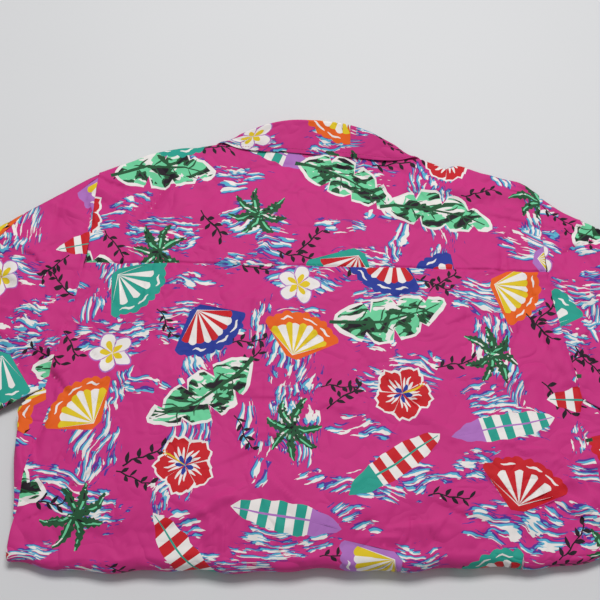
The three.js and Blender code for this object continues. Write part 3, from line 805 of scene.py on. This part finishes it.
MOTIFS = [
    ("shell", 54, lambda: shell("red", "white", "teal")),
    ("painted leaf", 56, painted_leaf),
    ("surfboard", 54, lambda: surfboard("white", "yellow", "orange")),
    ("fronds", 34, lambda: fronds("green", "mint", "navy")),
    ("shell", 50, lambda: shell("red", "white", "navy")),
    ("painted leaf", 58, painted_leaf),
    ("hibiscus", 28, lambda: hibiscus("red", "white", "navy", "white")),
    ("surfboard", 56, lambda: surfboard("white", "red", "teal")),
    ("shell", 50, lambda: shell("yellow", "white", "lilac")),
    ("fronds", 36, lambda: fronds("green", "mint", "mint")),
    ("painted leaf", 54, painted_leaf),
    ("shell", 50, lambda: shell("teal", "white", "teal")),
    ("plumeria", 23, lambda: plumeria("white", "yellow", "lilac")),
    ("shell", 48, lambda: shell("yellow", "white", "orange")),
    ("fronds", 34, lambda: fronds("green", "mint", "mint")),
    ("surfboard", 54, lambda: surfboard("white", "teal", "lilac")),
    ("shell", 52, lambda: shell("red", "white", "red")),
]


def print_layout(seed, low, high):
    """Motifs in a half-drop repeat over a flat box, and clouds of brush strokes beside them."""
    rng = random.Random(seed)
    shapes, clouds = [], []
    columns = int((high[0] - low[0]) / REPEAT_ACROSS) + 2
    rows = int((high[1] - low[1]) / REPEAT_DOWN) + 2
    for k in range(columns * rows):
        i, j = k // rows, k % rows
        x = low[0] + (i - 0.2) * REPEAT_ACROSS + rng.uniform(-11, 11)
        y = low[1] + (j - 0.3 + 0.5 * (i % 2)) * REPEAT_DOWN + rng.uniform(-8, 8)
        name, size, make = MOTIFS[(k + seed) % len(MOTIFS)]
        side = rng.choice([-1, 1])
        lean = rng.uniform(-28, 28) + rng.choice([0, 0, 90])
        clouds.append((x, y + 14 * side, lean, rng.uniform(48, 62), rng.uniform(25, 33), 0.4 * side))
        clouds.append((x + rng.uniform(-50, 50), y - 36 * side, -lean, 34, 12, 0.3))
        twig = rng.uniform(18, 22)
        shapes += placed(sprig(), x + rng.uniform(44, 56), y + 34 * side, rng.uniform(-60, 60), twig)
        turn = rng.uniform(-40, 40) if name == "painted leaf" else rng.uniform(0, 360)
        shapes += placed(make(), x, y, turn, size, rng.choice([-1, 1]))
    return hand_drawn(shapes), clouds


def cloud_masks(places, clouds):
    """How thick strokes along x and along y lie at each flat place: 1 in a cloud, 0 outside."""
    masks = np.zeros((2, len(places)))
    for x, y, turn, wide, high, bow in clouds:
        a = math.radians(turn)
        dx, dy = places[:, 0] - x, places[:, 1] - y
        along = (dx * math.cos(a) + dy * math.sin(a)) / wide
        across = (dy * math.cos(a) - dx * math.sin(a)) / high - bow * along**2
        upright = int(abs(math.sin(a)) > 0.7)
        thick = 1 - smooth((np.hypot(along, across) - 0.6) / 0.6)
        masks[upright] = np.maximum(masks[upright], thick)
    return masks.T


# Making a panel: its flat cut is triangulated with the motifs' outlines in it, then lifted

def grid(xs, ys):
    return np.stack([m.ravel() for m in np.meshgrid(xs, ys)], axis=1)


def to_linear(rgb):
    c = np.array(rgb, float) / 255
    return np.where(c <= 0.04045, c / 12.92, ((c + 0.055) / 1.055) ** 2.4)


INK_LINEAR = np.array([[*to_linear(INKS[name]), 1.0] for name in INK_NAMES])
FADED = np.array([0.8, 0.72, 0.76, 1.0])
WRONG_SIDE = 0.45


def inside(outline, points):
    """Which points lie in an outline, by counting its edges to the right of each."""
    a, b = outline, np.roll(outline, -1, axis=0)
    x, y = points[:, 0:1], points[:, 1:2]
    crosses = (a[:, 1] > y) != (b[:, 1] > y)
    with np.errstate(divide="ignore", invalid="ignore"):
        at = (b[:, 0] - a[:, 0]) * (y - a[:, 1]) / (b[:, 1] - a[:, 1]) + a[:, 0]
    return np.sum(crosses & (x < at), axis=1) % 2 == 1


def signed_area(outline):
    """Area of a flat outline, positive where it runs anticlockwise."""
    x, y = outline[:, 0], outline[:, 1]
    return (np.dot(x, np.roll(y, -1)) - np.dot(y, np.roll(x, -1))) / 2


def cut(outline, lines, shapes):
    """The flat triangles of a panel, and the ink of each."""
    low, high = outline.min(axis=0), outline.max(axis=0)
    kept = [
        (shape, ink) for shape, ink in shapes
        if np.all(shape.max(axis=0) > low) and np.all(shape.min(axis=0) < high)
    ]
    points, edges = [], []
    for shape in [outline] + [shape for shape, _ in kept]:
        ring = list(range(len(points), len(points) + len(shape)))
        points += [Vector(p) for p in shape]
        edges += zip(ring, ring[1:] + ring[:1])
    points += [Vector(p) for p in lines[inside(outline, lines)]]
    flat, _, corners, _, _, _ = delaunay_2d_cdt(points, edges, [], 0, 0.02, False)
    flat, triangles = np.array([tuple(v) for v in flat]), np.array(corners)
    triangles = triangles[inside(outline, flat[triangles].mean(axis=1))]
    used, triangles = np.unique(triangles, return_inverse=True)
    triangles, places = triangles.reshape(-1, 3), flat[used]
    a, b, c = (places[triangles[:, k]] for k in range(3))
    turned = (b[:, 0] - a[:, 0]) * (c[:, 1] - a[:, 1]) - (b[:, 1] - a[:, 1]) * (c[:, 0] - a[:, 0]) < 0
    triangles[turned] = triangles[turned][:, ::-1]
    return places, triangles, ink_of(places[triangles].mean(axis=1), kept)


def ink_of(centres, shapes):
    """The ink at each place: that of the last shape it lies in, or the ground."""
    inks = np.zeros(len(centres), int)
    order = np.argsort(centres[:, 0])
    xs = centres[order, 0]
    for shape, ink in shapes:
        first, last = np.searchsorted(xs, (shape[:, 0].min(), shape[:, 0].max()))
        near = order[first:last]
        y = centres[near, 1]
        near = near[(y > shape[:, 1].min()) & (y < shape[:, 1].max())]
        inks[near[inside(shape, centres[near])]] = INK_NAMES.index(ink)
    return inks


def rim_loop(triangles):
    """The places round a panel's rim, in order."""
    edges = np.concatenate([triangles[:, [0, 1]], triangles[:, [1, 2]], triangles[:, [2, 0]]])
    _, first, count = np.unique(np.sort(edges, axis=1), axis=0, return_index=True, return_counts=True)
    after = {int(a): int(b) for a, b in edges[first[count == 1]]}
    loop = [next(iter(after))]
    while after[loop[-1]] != loop[0]:
        loop.append(after[loop[-1]])
    return np.array(loop)


def wrong_side(rim, spacing):
    """Coarser triangles inside the same rim. The rim's places come first, in the same order."""
    low, high = rim.min(axis=0), rim.max(axis=0)
    lines = grid(np.arange(low[0] + 1, high[0], spacing), np.arange(low[1] + 1, high[1], spacing))
    lines = lines[inside(rim, lines)]
    points = [Vector(p) for p in np.concatenate([rim, lines])]
    edges = [(k, (k + 1) % len(rim)) for k in range(len(rim))]
    flat, _, corners, sources, _, _ = delaunay_2d_cdt(points, edges, [], 0, 1e-6, True)
    flat, triangles = np.array([tuple(v) for v in flat]), np.array(corners)
    triangles = triangles[inside(rim, flat[triangles].mean(axis=1))]
    order = np.array([source[0] for source in sources])
    places = np.empty_like(flat)
    places[order] = flat
    return places, order[triangles]


def normals_of(lift, s, t, facing):
    """The lifted places, and the normals there."""
    step = 0.12
    middle = lift(s, t)
    normal = np.cross(lift(s + step, t) - middle, lift(s, t + step) - middle)
    return middle, normal * facing / np.maximum(1e-9, np.linalg.norm(normal, axis=1, keepdims=True))


def corner_colours(mesh, name, colours):
    layer = mesh.color_attributes.new(name, "FLOAT_COLOR", "CORNER")
    layer.data.foreach_set("color", colours.astype(np.float32).ravel())


def shell_faces(outer, inner, loop, behind_loop, count):
    """Faces of a closed shell: its outer side, its wrong side, and a strip round its rim."""
    next_loop, next_behind = np.roll(loop, -1), np.roll(behind_loop, -1)
    strip = np.concatenate([
        together(next_loop, loop, behind_loop + count),
        together(next_loop, behind_loop + count, next_behind + count),
    ])
    return np.concatenate([outer, inner[:, ::-1] + count, strip])


def print_colours(inks, sides, wrong_faces, rim_faces):
    """The ink of each corner: the print on its sides, or a faded wrong side, and the rim's ground."""
    ground = INK_LINEAR[0]
    faded = np.tile(mix(ground, FADED, WRONG_SIDE), ((2 - sides) * wrong_faces, 1))
    rim = np.tile(ground, (rim_faces, 1))
    return np.repeat(np.concatenate([INK_LINEAR[np.tile(inks, sides)], faded, rim]), 3, axis=0)


def brush_marks(faces, inks, sides, masks):
    """How thick strokes lie at each corner, in red along x and in blue along y, and leaves in green."""
    marks = np.zeros((len(faces), 3, 4))
    marks[..., 3] = 1
    face_inks = np.tile(inks, sides)
    printed = len(face_inks)
    marks[:printed, :, [0, 2]] = masks[faces[:printed]] * (face_inks == 0)[:, None, None]
    marks[:printed, :, 1] = (face_inks == INK_NAMES.index("mint"))[:, None]
    return marks.reshape(-1, 4)


def panel(name, node, outline, lines, lift, layout, facing=1, backing=5.0, half=CLOTH):
    """A thin closed shell of printed cloth in place of a node, with a coarser wrong side."""
    shapes, clouds = layout
    places, outer, inks = cut(outline, lines, shapes)
    loop = rim_loop(outer)
    behind, inner, behind_loop = places, outer, loop
    if backing:
        behind, inner = wrong_side(places[loop], backing)
        behind_loop = np.arange(len(loop))
    front_middle, front_normal = normals_of(lift, *places.T, facing)
    back_middle, back_normal = normals_of(lift, *behind.T, facing)
    depth = np.full((len(behind), 1), half)
    if backing:
        depth[len(loop):] += BACKING_SLACK
    points = np.concatenate([front_middle + front_normal * half, back_middle - back_normal * depth]) * MM
    faces = shell_faces(outer, inner, loop, behind_loop, len(places))
    if facing < 0:
        faces = faces[:, ::-1]
    mesh = bpy.data.meshes.new(name)
    mesh.from_pydata(points.tolist(), [], faces.tolist())
    sides = 1 if backing else 2
    masks = np.concatenate([cloud_masks(places, clouds)] * sides)
    corner_colours(mesh, "Print", print_colours(inks, sides, len(inner), 2 * len(loop)))
    corner_colours(mesh, "Brush", brush_marks(faces, inks, sides, masks))
    flat = np.concatenate([places, behind])[faces.ravel()] * MM
    mesh.uv_layers.new(name="Flat").data.foreach_set("uv", flat.astype(np.float32).ravel())
    mesh.shade_smooth()
    mesh.normals_split_custom_set_from_vertices(np.concatenate([front_normal, -back_normal]).tolist())
    made = bpy.data.objects.new(name, mesh)
    bpy.context.collection.objects.link(made)
    mesh.materials.append(PRINT_CLOTH)
    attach(made, "root")
    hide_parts(node)
    size = (outline.max(axis=0) - outline.min(axis=0)) * MM
    return made, (float(size[0]), float(size[1])), float(abs(signed_area(outline)) * MM * MM)


# Materials

def node_material(name):
    material = bpy.data.materials.new(name)
    material.use_nodes = True
    tree = material.node_tree
    return material, tree, tree.nodes["Principled BSDF"]


def add_node(tree, kind, inputs, **settings):
    """A node with its settings, and each input linked to a socket or set to a value."""
    made = tree.nodes.new(f"ShaderNode{kind}")
    for key, value in settings.items():
        setattr(made, key, value)
    for key, value in inputs.items():
        if isinstance(value, bpy.types.NodeSocket):
            tree.links.new(value, made.inputs[key])
        else:
            made.inputs[key].default_value = value
    return made


def over(tree, mask, below, above):
    """A colour laid over another where a mask is 1."""
    return add_node(tree, "Mix", {0: mask, 6: below, 7: above}, data_type="RGBA").outputs[2]


def reckon(tree, operation, a, b, kind="Math"):
    return add_node(tree, kind, {0: a, 1: b}, operation=operation).outputs[0]


def noise(tree, vector, scale, detail=2.0, distortion=0.0):
    return add_node(tree, "TexNoise", {
        "Vector": vector, "Scale": scale, "Detail": detail, "Distortion": distortion,
    })


def bent_flat(tree, flat, scale, reach):
    """Places of the flat cloth, moved about by a soft noise."""
    wander = noise(tree, flat, scale).outputs["Color"]
    centred = reckon(tree, "SUBTRACT", wander, (0.5, 0.5, 0.5), "VectorMath")
    moved = add_node(tree, "VectorMath", {0: centred, "Scale": reach}, operation="SCALE").outputs[0]
    return reckon(tree, "ADD", flat, moved, "VectorMath")


def drawn_out(tree, flat, long, wide, shift=(0, 0), layer=0.0):
    """Noise in strokes of a length and width in metres, moved by a shift."""
    scale = (1 / long, 1 / wide, 1)
    location = (shift[0] / long, shift[1] / wide, layer)
    vector = add_node(tree, "Mapping", {"Vector": flat, "Location": location, "Scale": scale}).outputs[0]
    return noise(tree, vector, 1.0, 2.0, 0.35).outputs["Fac"]


def ink_colour(name):
    return (*to_linear(INKS[name]), 1.0)


# Length and width in metres of the strokes and patches, and each pass: ink, threshold, shift or layer
STROKE = (0.02, 0.0037)
STROKE_PASSES = [
    ("violet", 0.481, (0.0016, 0.0022)),
    ("sky", 0.53, (0.0012, 0.0016)),
    ("white", 0.562, (0, 0)),
]
PATCH = (0.022, 0.009)
LEAF_PATCHES = [("white", 0.56, 3.0), ("green", 0.517, 7.0), ("black", 0.597, 7.0)]


def brushed_ink(tree, ink, flat, marks):
    """The print's inks with clouds of strokes over the ground, and patches in the painted leaves."""
    level, painted, upright = marks.outputs
    cloud = reckon(tree, "MAXIMUM", level, upright)
    turned = add_node(tree, "Mapping", {"Vector": flat, "Rotation": (0, 0, math.radians(84))}).outputs[0]
    turn_here = reckon(tree, "GREATER_THAN", upright, level)
    chosen = add_node(tree, "Mix", {0: turn_here, 4: flat, 5: turned}, data_type="VECTOR").outputs[1]
    bent = bent_flat(tree, bent_flat(tree, chosen, 9.0, 0.085), 60.0, 0.008)
    rarer = reckon(tree, "MULTIPLY", reckon(tree, "SUBTRACT", 1.0, cloud), 0.26)
    some = reckon(tree, "GREATER_THAN", noise(tree, flat, 34.0).outputs["Fac"], 0.42)
    within = reckon(tree, "GREATER_THAN", cloud, 0.02)
    colour = ink
    for name, least, shift in STROKE_PASSES:
        height = reckon(tree, "SUBTRACT", drawn_out(tree, bent, *STROKE, shift), rarer)
        mask = reckon(tree, "MULTIPLY", reckon(tree, "GREATER_THAN", height, least), within)
        if name != "white":
            mask = reckon(tree, "MULTIPLY", mask, some)
        colour = over(tree, mask, colour, ink_colour(name))
    for name, least, layer in LEAF_PATCHES:
        mask = reckon(tree, "GREATER_THAN", drawn_out(tree, bent, *PATCH, (0, 0), layer), least)
        colour = over(tree, reckon(tree, "MULTIPLY", mask, painted), colour, ink_colour(name))
    return colour


def thread_wave(tree, flat, axis):
    """One way of the weave: threads about half a millimetre apart."""
    return add_node(tree, "TexWave", {
        "Vector": flat, "Scale": 640.0, "Distortion": 0.6, "Detail": 1.0,
    }, wave_type="BANDS", bands_direction=axis).outputs["Fac"]


def ranged(tree, value, low, high):
    return add_node(tree, "MapRange", {"Value": value, "To Min": low, "To Max": high}).outputs["Result"]


def crumpled(tree, flat):
    """The finest crumples: shallow ridges where a soft noise passes its middle."""
    level = noise(tree, bent_flat(tree, flat, 14.0, 0.03), 24.0, 2.0, 0.4).outputs["Fac"]
    ridge = reckon(tree, "ABSOLUTE", reckon(tree, "SUBTRACT", level, 0.5), 0.0)
    return add_node(tree, "Bump", {"Distance": 0.0085, "Height": ridge}).outputs["Normal"]


def print_cloth():
    """Light printed cloth: the print's inks, a fine plain weave, and a soft sheen."""
    material, tree, shader = node_material("printed cloth")
    ink = add_node(tree, "VertexColor", {}, layer_name="Print").outputs["Color"]
    marks = add_node(tree, "VertexColor", {}, layer_name="Brush").outputs["Color"]
    marks = add_node(tree, "SeparateColor", {"Color": marks})
    flat = add_node(tree, "UVMap", {}, uv_map="Flat").outputs["UV"]
    colour = brushed_ink(tree, ink, flat, marks)
    weave = reckon(tree, "MULTIPLY", thread_wave(tree, flat, "X"), thread_wave(tree, flat, "Y"))
    tone = ranged(tree, noise(tree, flat, 60.0, 5.0).outputs["Fac"], 0.94, 1.05)
    shade = add_node(tree, "VectorMath", {0: colour, "Scale": tone}, operation="SCALE")
    tree.links.new(shade.outputs["Vector"], shader.inputs["Base Color"])
    bump = add_node(tree, "Bump", {
        "Strength": 0.25, "Distance": 0.0001, "Height": weave, "Normal": crumpled(tree, flat),
    })
    tree.links.new(bump.outputs["Normal"], shader.inputs["Normal"])
    tree.links.new(ranged(tree, weave, 0.66, 0.8), shader.inputs["Roughness"])
    shader.inputs["Specular IOR Level"].default_value = 0.25
    shader.inputs["Sheen Weight"].default_value = 0.06
    shader.inputs["Sheen Roughness"].default_value = 0.5
    return material


PRINT_CLOTH = print_cloth()


def mottled(name, scale, low, high, roughness, detail=2.0, distortion=0.0):
    """A plain material that passes softly between two colours over the object."""
    material, tree, shader = node_material(name)
    place = add_node(tree, "TexCoord", {}).outputs["Object"]
    level = noise(tree, place, scale, detail, distortion).outputs["Fac"]
    ramp = add_node(tree, "ValToRGB", {"Fac": level})
    ramp.color_ramp.elements[0].color = (*low, 1)
    ramp.color_ramp.elements[1].color = (*high, 1)
    tree.links.new(ramp.outputs["Color"], shader.inputs["Base Color"])
    shader.inputs["Roughness"].default_value = roughness
    return material


THREAD = mottled("thread", 1800.0, to_linear((180, 36, 108)), to_linear((214, 70, 142)), 0.55)


# The five kinds of panel

def straight_piece(columns, rows):
    """The outline of a straight piece, with points at the given places across and along it."""
    left, right = np.full_like(rows, columns[0]), np.full_like(rows, columns[-1])
    near, far = np.full_like(columns, rows[0]), np.full_like(columns, rows[-1])
    return np.concatenate([
        together(columns, near), together(right, rows)[1:-1],
        together(columns, far)[::-1], together(left, rows)[::-1][1:-1],
    ])


def with_rolls(flat_half, outer, step=3.5, fine=1.4):
    """Lines across a panel: even ones, and closer ones where the cloth rolls round the side."""
    inner = np.arange(-flat_half, flat_half + 0.1, step)
    rolls = np.arange(flat_half + fine, outer, fine)
    return np.concatenate([-rolls[::-1], inner, rolls])


def make_back():
    runs = np.concatenate([np.linspace(0, TOP_RUN, 110), TOP_RUN + np.linspace(0, FOLD_RUN, 14)[1:],
                           TOP_RUN + FOLD_RUN + np.linspace(0, UNDER_RUN, 50)[1:]])
    side = together(back_edge(runs), runs)
    ends = np.linspace(1, -1, 150)[1:-1, None]
    top = ends * (side[0, 0], 0)
    bottom = ends[::-1] * (side[-1, 0], 0) + (0, runs[-1])
    outline = np.concatenate([side, bottom[::-1], (side * (-1, 1))[::-1], top[::-1]])
    lines = grid(with_rolls(266, 300, 2.8), np.concatenate([
        np.arange(1.2, TOP_RUN, 2.6), TOP_RUN + np.arange(0, FOLD_RUN, 2.6),
        TOP_RUN + FOLD_RUN + np.arange(0, UNDER_RUN, 7),
    ]))
    layout = print_layout(2, (-300, 0), (300, TOP_RUN + FOLD_RUN + UNDER_RUN))
    made, size, area = panel("back_cloth", "back", outline, lines, lift_back, layout, -1)


def make_yoke():
    x = np.linspace(-248, 248, 150)
    _, reach = yoke_runs(x)
    lower = together(x, np.zeros_like(x))
    upper = together(x, reach)[::-1]
    outline = np.concatenate([lower, upper])
    columns = np.arange(-246, 246.5, 2.7)
    top, _ = yoke_runs(columns)
    rows = [grid(columns, np.arange(1.2, 200, 2.7))]
    for turn in np.arange(0.1, 1, 0.14):
        rows.append(together(columns, top + turn * math.pi * SHOULDER_ROLL))
    layout = print_layout(5, (-250, 0), (250, 180))
    made, size, area = panel("yoke_cloth", "yoke", outline, np.concatenate(rows), lift_yoke, layout)


def make_front(name, side, seed):
    y = np.linspace(-238, -100, 60)
    inner = together(front_inner(side, y), y)
    start = float(front_inner(side, np.array(0.0)))
    high = np.linspace(-96, float(front_top(np.array(start))) - 2, 50)
    inner = np.concatenate([inner, together(front_inner(side, high), high)])
    w = np.concatenate([np.linspace(start, NECK_HALF - 1, 60), np.linspace(NECK_HALF + 0.5, 247.9, 50)])
    top = together(w, front_top(w))
    down = np.concatenate([np.linspace(float(top[-1, 1]) - 3, -104, 60), np.linspace(-106, -238, 60)])
    outer = together(front_outer(down), down)
    outline = np.concatenate([inner, top, outer])
    lines = grid(with_rolls(266, 340, 5, 1.6), np.arange(-236, 200, 4.0))
    layout = print_layout(seed, (-20, -240), (340, 170))
    made, size, area = panel(f"front_{name}_cloth", f"front_{name}", outline, lines,
                             lambda s, t: lift_front(side, s, t), layout, -side)


def make_sleeve(name, side, seed):
    rounds = np.linspace(0, 1, 70)
    outs = np.linspace(0, 1, 50)
    armhole = together(*sleeve_plan(rounds, np.zeros_like(rounds)))
    cuff = together(*sleeve_plan(rounds, np.ones_like(rounds)))
    under = together(*sleeve_plan(np.ones_like(outs), outs))
    upper = np.concatenate([armhole, under[1:-1], cuff[::-1]])
    mirrored = together(*mirror_over_top(upper[:, 0], upper[:, 1]))
    outline = np.concatenate([upper, mirrored[::-1][1:-1]])
    rows = np.concatenate([
        np.linspace(0.004, 0.06, 9), np.linspace(0.075, 0.93, 56), np.linspace(0.94, 0.996, 9),
    ])
    down, out = (m.ravel() for m in np.meshgrid(rows, np.linspace(0.008, 0.992, 52)))
    half = together(*sleeve_plan(down, out))
    lines = np.concatenate([half, together(*mirror_over_top(half[:, 0], half[:, 1]))])
    low, high = outline.min(axis=0), outline.max(axis=0)
    layout = print_layout(seed, low, high)
    made, size, area = panel(f"sleeve_{name}_cloth", f"sleeve_{name}", outline, lines,
                             lambda s, t: lift_sleeve(side, s, t), layout, side)


def make_collar():
    a = np.linspace(-COLLAR_HALF, COLLAR_HALF, 170)
    b = np.linspace(0, COLLAR_WIDE, 28)
    outline = straight_piece(a, b)
    rows = np.concatenate([np.arange(2, STAND, 3.0), STAND + np.arange(0, COLLAR_ROLL, 0.8),
                           STAND + COLLAR_ROLL + np.arange(0, FALL, 2.8)])
    lines = grid(np.arange(-COLLAR_HALF + 2, COLLAR_HALF, 2.9), rows)
    layout = print_layout(7, (-250, 0), (250, COLLAR_WIDE))
    made, size, _ = panel("collar_cloth", "collar", outline, lines, lift_collar, layout, -1, 0, 0.45)


STITCH_PITCH = 3.2
STITCH_LONG = 2.3
STITCH_HALF = 0.2
STITCH_SIDES = 5


def stitched(name, line, lift, facing, half=CLOTH):
    """Stitches of thread along a line of flat places, each a small closed bead on the cloth."""
    steps = np.hypot(*np.diff(line, axis=0).T)
    far = np.concatenate([[0], np.cumsum(steps)])
    starts = np.arange(0.5, far[-1] - STITCH_LONG, STITCH_PITCH)
    shares = np.array([0.0, 0.2, 0.8, 1.0])
    at = (starts[:, None] + shares * STITCH_LONG).ravel()
    s, t = np.interp(at, far, line[:, 0]), np.interp(at, far, line[:, 1])
    middle, normal = normals_of(lift, s, t, facing)
    middle = middle.reshape(-1, 4, 3)
    normal = normal.reshape(-1, 4, 3)
    ahead = middle[:, 3:] - middle[:, :1]
    side = np.cross(normal, ahead)
    side /= np.linalg.norm(side, axis=2, keepdims=True)
    sunk = np.array([0.0, 0.75, 0.75, 0.0])[:, None] * STITCH_HALF
    centres = middle + normal * (half + sunk)
    turns = np.arange(STITCH_SIDES) / STITCH_SIDES * 2 * math.pi
    across, above = side[:, :, None], normal[:, :, None]
    ring = STITCH_HALF * (np.cos(turns)[:, None] * across + np.sin(turns)[:, None] * above)
    rings = centres[:, 1:3, None] + ring[:, 1:3]
    points = np.concatenate([centres[:, [0]], centres[:, [3]], rings.reshape(len(starts), -1, 3)], axis=1)
    faces = []
    for k in range(STITCH_SIDES):
        a, b = 2 + k, 2 + (k + 1) % STITCH_SIDES
        faces += [(0, b, a), (a, b, b + STITCH_SIDES), (a, b + STITCH_SIDES, a + STITCH_SIDES)]
        faces.append((1, a + STITCH_SIDES, b + STITCH_SIDES))
    each = points.shape[1]
    faces = (np.array(faces)[None] + each * np.arange(len(starts))[:, None, None]).reshape(-1, 3)
    mesh = bpy.data.meshes.new(name)
    mesh.from_pydata((points.reshape(-1, 3) * MM).tolist(), [], faces.tolist())
    mesh.shade_smooth()
    mesh.materials.append(THREAD)
    made = bpy.data.objects.new(name, mesh)
    bpy.context.collection.objects.link(made)
    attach(made, "root")


def stitch_collar():
    """A row just inside the collar's outer edge and ends."""
    inset = 5
    end = COLLAR_HALF - inset
    line = [(-end, STAND + COLLAR_ROLL), (-end, COLLAR_WIDE - inset), (end, COLLAR_WIDE - inset),
            (end, STAND + COLLAR_ROLL)]
    stitched("collar_stitching", np.array(line), lift_collar, -1, 0.45)


def stitch_cuff(name, side):
    """A row round the cuff's hem, over the upper and the lower cloth."""
    rounds = np.linspace(0.99, 0.01, 60)
    upper = together(*sleeve_plan(rounds, np.full(60, 0.9)))
    lower = together(*mirror_over_top(upper[:, 0], upper[:, 1]))
    for part, line in (("upper", upper), ("lower", lower)):
        stitched(f"cuff_stitching_{name}_{part}", line, lambda s, t: lift_sleeve(side, s, t), side)


def stitch_hem():
    """A row along the back's hem, which lies under the fold."""
    run = TOP_RUN + FOLD_RUN + UNDER_RUN - 18
    across = float(back_edge(np.array(float(run)))) - 4
    stitched("hem_stitching", np.array([(-across, run), (across, run)]), lift_back, -1)


CORE_FRONT = -275
CORE_REAR = -90
CORE_SIDE = 36
CORE_BELOW = 4
CORE_SHEETS = 6


def lift_folded(across, run):
    """The layers inside the fold: one cloth laid to and fro, from the lowest layer up."""
    long = CORE_REAR - CORE_FRONT
    layer = np.minimum(np.floor(run / long), CORE_SHEETS - 1)
    part = run / long - layer
    forth = np.where(layer % 2 == 0, part, 1 - part)
    end = smooth((np.abs(part - 0.5) - 0.46) / 0.04)
    climb = np.where(part > 0.5, 0.5, -0.5) * end
    y = mix(CORE_FRONT, CORE_REAR, forth)
    middle = (CORE_FRONT + CORE_REAR) / 2
    half = float(curve(BODY, "y", np.array(float(FOLD_Y)), "half")) - CORE_SIDE
    narrow = clamp01(1 - np.abs((y - middle) / (long / 2)) ** 6) ** (1 / 6)
    x = across * half * np.maximum(narrow, 0.9)
    share = (layer + climb + 0.5) / CORE_SHEETS
    bottom, top = TABLE + LAYER + 0.6, sagging_top(x, y) - CORE_BELOW
    wave = 0.7 * np.sin(x * 0.05 + 2.3 * layer) * np.sin(y * 0.07 + layer)
    return laid_askew(x, y, mix(bottom, top, share) + wave)


def make_folded_layers():
    """The hidden layers of the two fronts inside the fold, which share one piece."""
    long = CORE_REAR - CORE_FRONT
    half = float(curve(BODY, "y", np.array(float(FOLD_Y)), "half")) - CORE_SIDE
    rows = np.linspace(0, CORE_SHEETS * long, CORE_SHEETS * 48)
    columns = np.linspace(-half, half, 60)
    outline = straight_piece(columns, rows)
    lines = grid(columns[1:-1] + 0.01, rows[1:-1] + 0.01)
    made, size, area = panel("folded_layers_cloth", "folded_layers", outline, lines,
                             lambda s, t: lift_folded(s / half, t), ([], []), 1, 0)


def finish_button():
    """The button keeps its CAD shape, in plastic."""
    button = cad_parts["button_top"]
    colours = to_linear((118, 32, 72)), to_linear((168, 58, 108))
    plastic = mottled("button plastic", 260.0, *colours, 0.32, 3.0, 1.5)
    for slot in button.material_slots:
        slot.material = plastic


# Camera, table and light

CAMERA_AT = (-4.8, -420.9, 1031.4)
CAMERA_TARGET = (-16.0, 38.2, 0.0)
LENS = 63


def aimed(made, place, target):
    made.location = Vector(place) * MM
    made.rotation_euler = (Vector(target) - Vector(place)).to_track_quat("-Z", "Y").to_euler()
    bpy.context.collection.objects.link(made)
    return made


def make_camera():
    lens = bpy.data.cameras.new("camera")
    lens.lens = LENS
    lens.sensor_width = 36
    bpy.context.scene.camera = aimed(bpy.data.objects.new("camera", lens), CAMERA_AT, CAMERA_TARGET)


def make_table():
    bpy.ops.mesh.primitive_plane_add(size=8, location=(0, 0, 0))
    made = bpy.context.object
    made.name = "table"
    white = mottled("table white", 3.0, (0.66, 0.66, 0.665), (0.69, 0.69, 0.695), 0.6)
    made.data.materials.append(white)


WINDOW_AT = (160, 1000, 2200)
WINDOW_TARGET = (0, 40, 0)
WINDOW_SIZE = (1.0, 0.8)
WINDOW_ENERGY = 42
ROOM_COLOUR = (0.95, 0.97, 1.0, 1)
ROOM_STRENGTH = 0.3


def make_light():
    world = bpy.data.worlds.new("room")
    bpy.context.scene.world = world
    world.use_nodes = True
    room = world.node_tree.nodes["Background"]
    room.inputs["Color"].default_value = ROOM_COLOUR
    room.inputs["Strength"].default_value = ROOM_STRENGTH
    window = bpy.data.lights.new("window", "AREA")
    window.shape = "RECTANGLE"
    window.size, window.size_y = WINDOW_SIZE
    window.energy = WINDOW_ENERGY
    aimed(bpy.data.objects.new("window", window), WINDOW_AT, WINDOW_TARGET)
    bpy.context.scene.view_settings.view_transform = "Standard"


make_camera()
make_table()
make_light()
make_front("left", -1, 11)
make_front("right", 1, 14)
make_sleeve("left", -1, 4)
make_sleeve("right", 1, 9)
make_back()
make_yoke()
make_collar()
make_folded_layers()
finish_button()
stitch_collar()
stitch_cuff("left", -1)
stitch_cuff("right", 1)
stitch_hem()
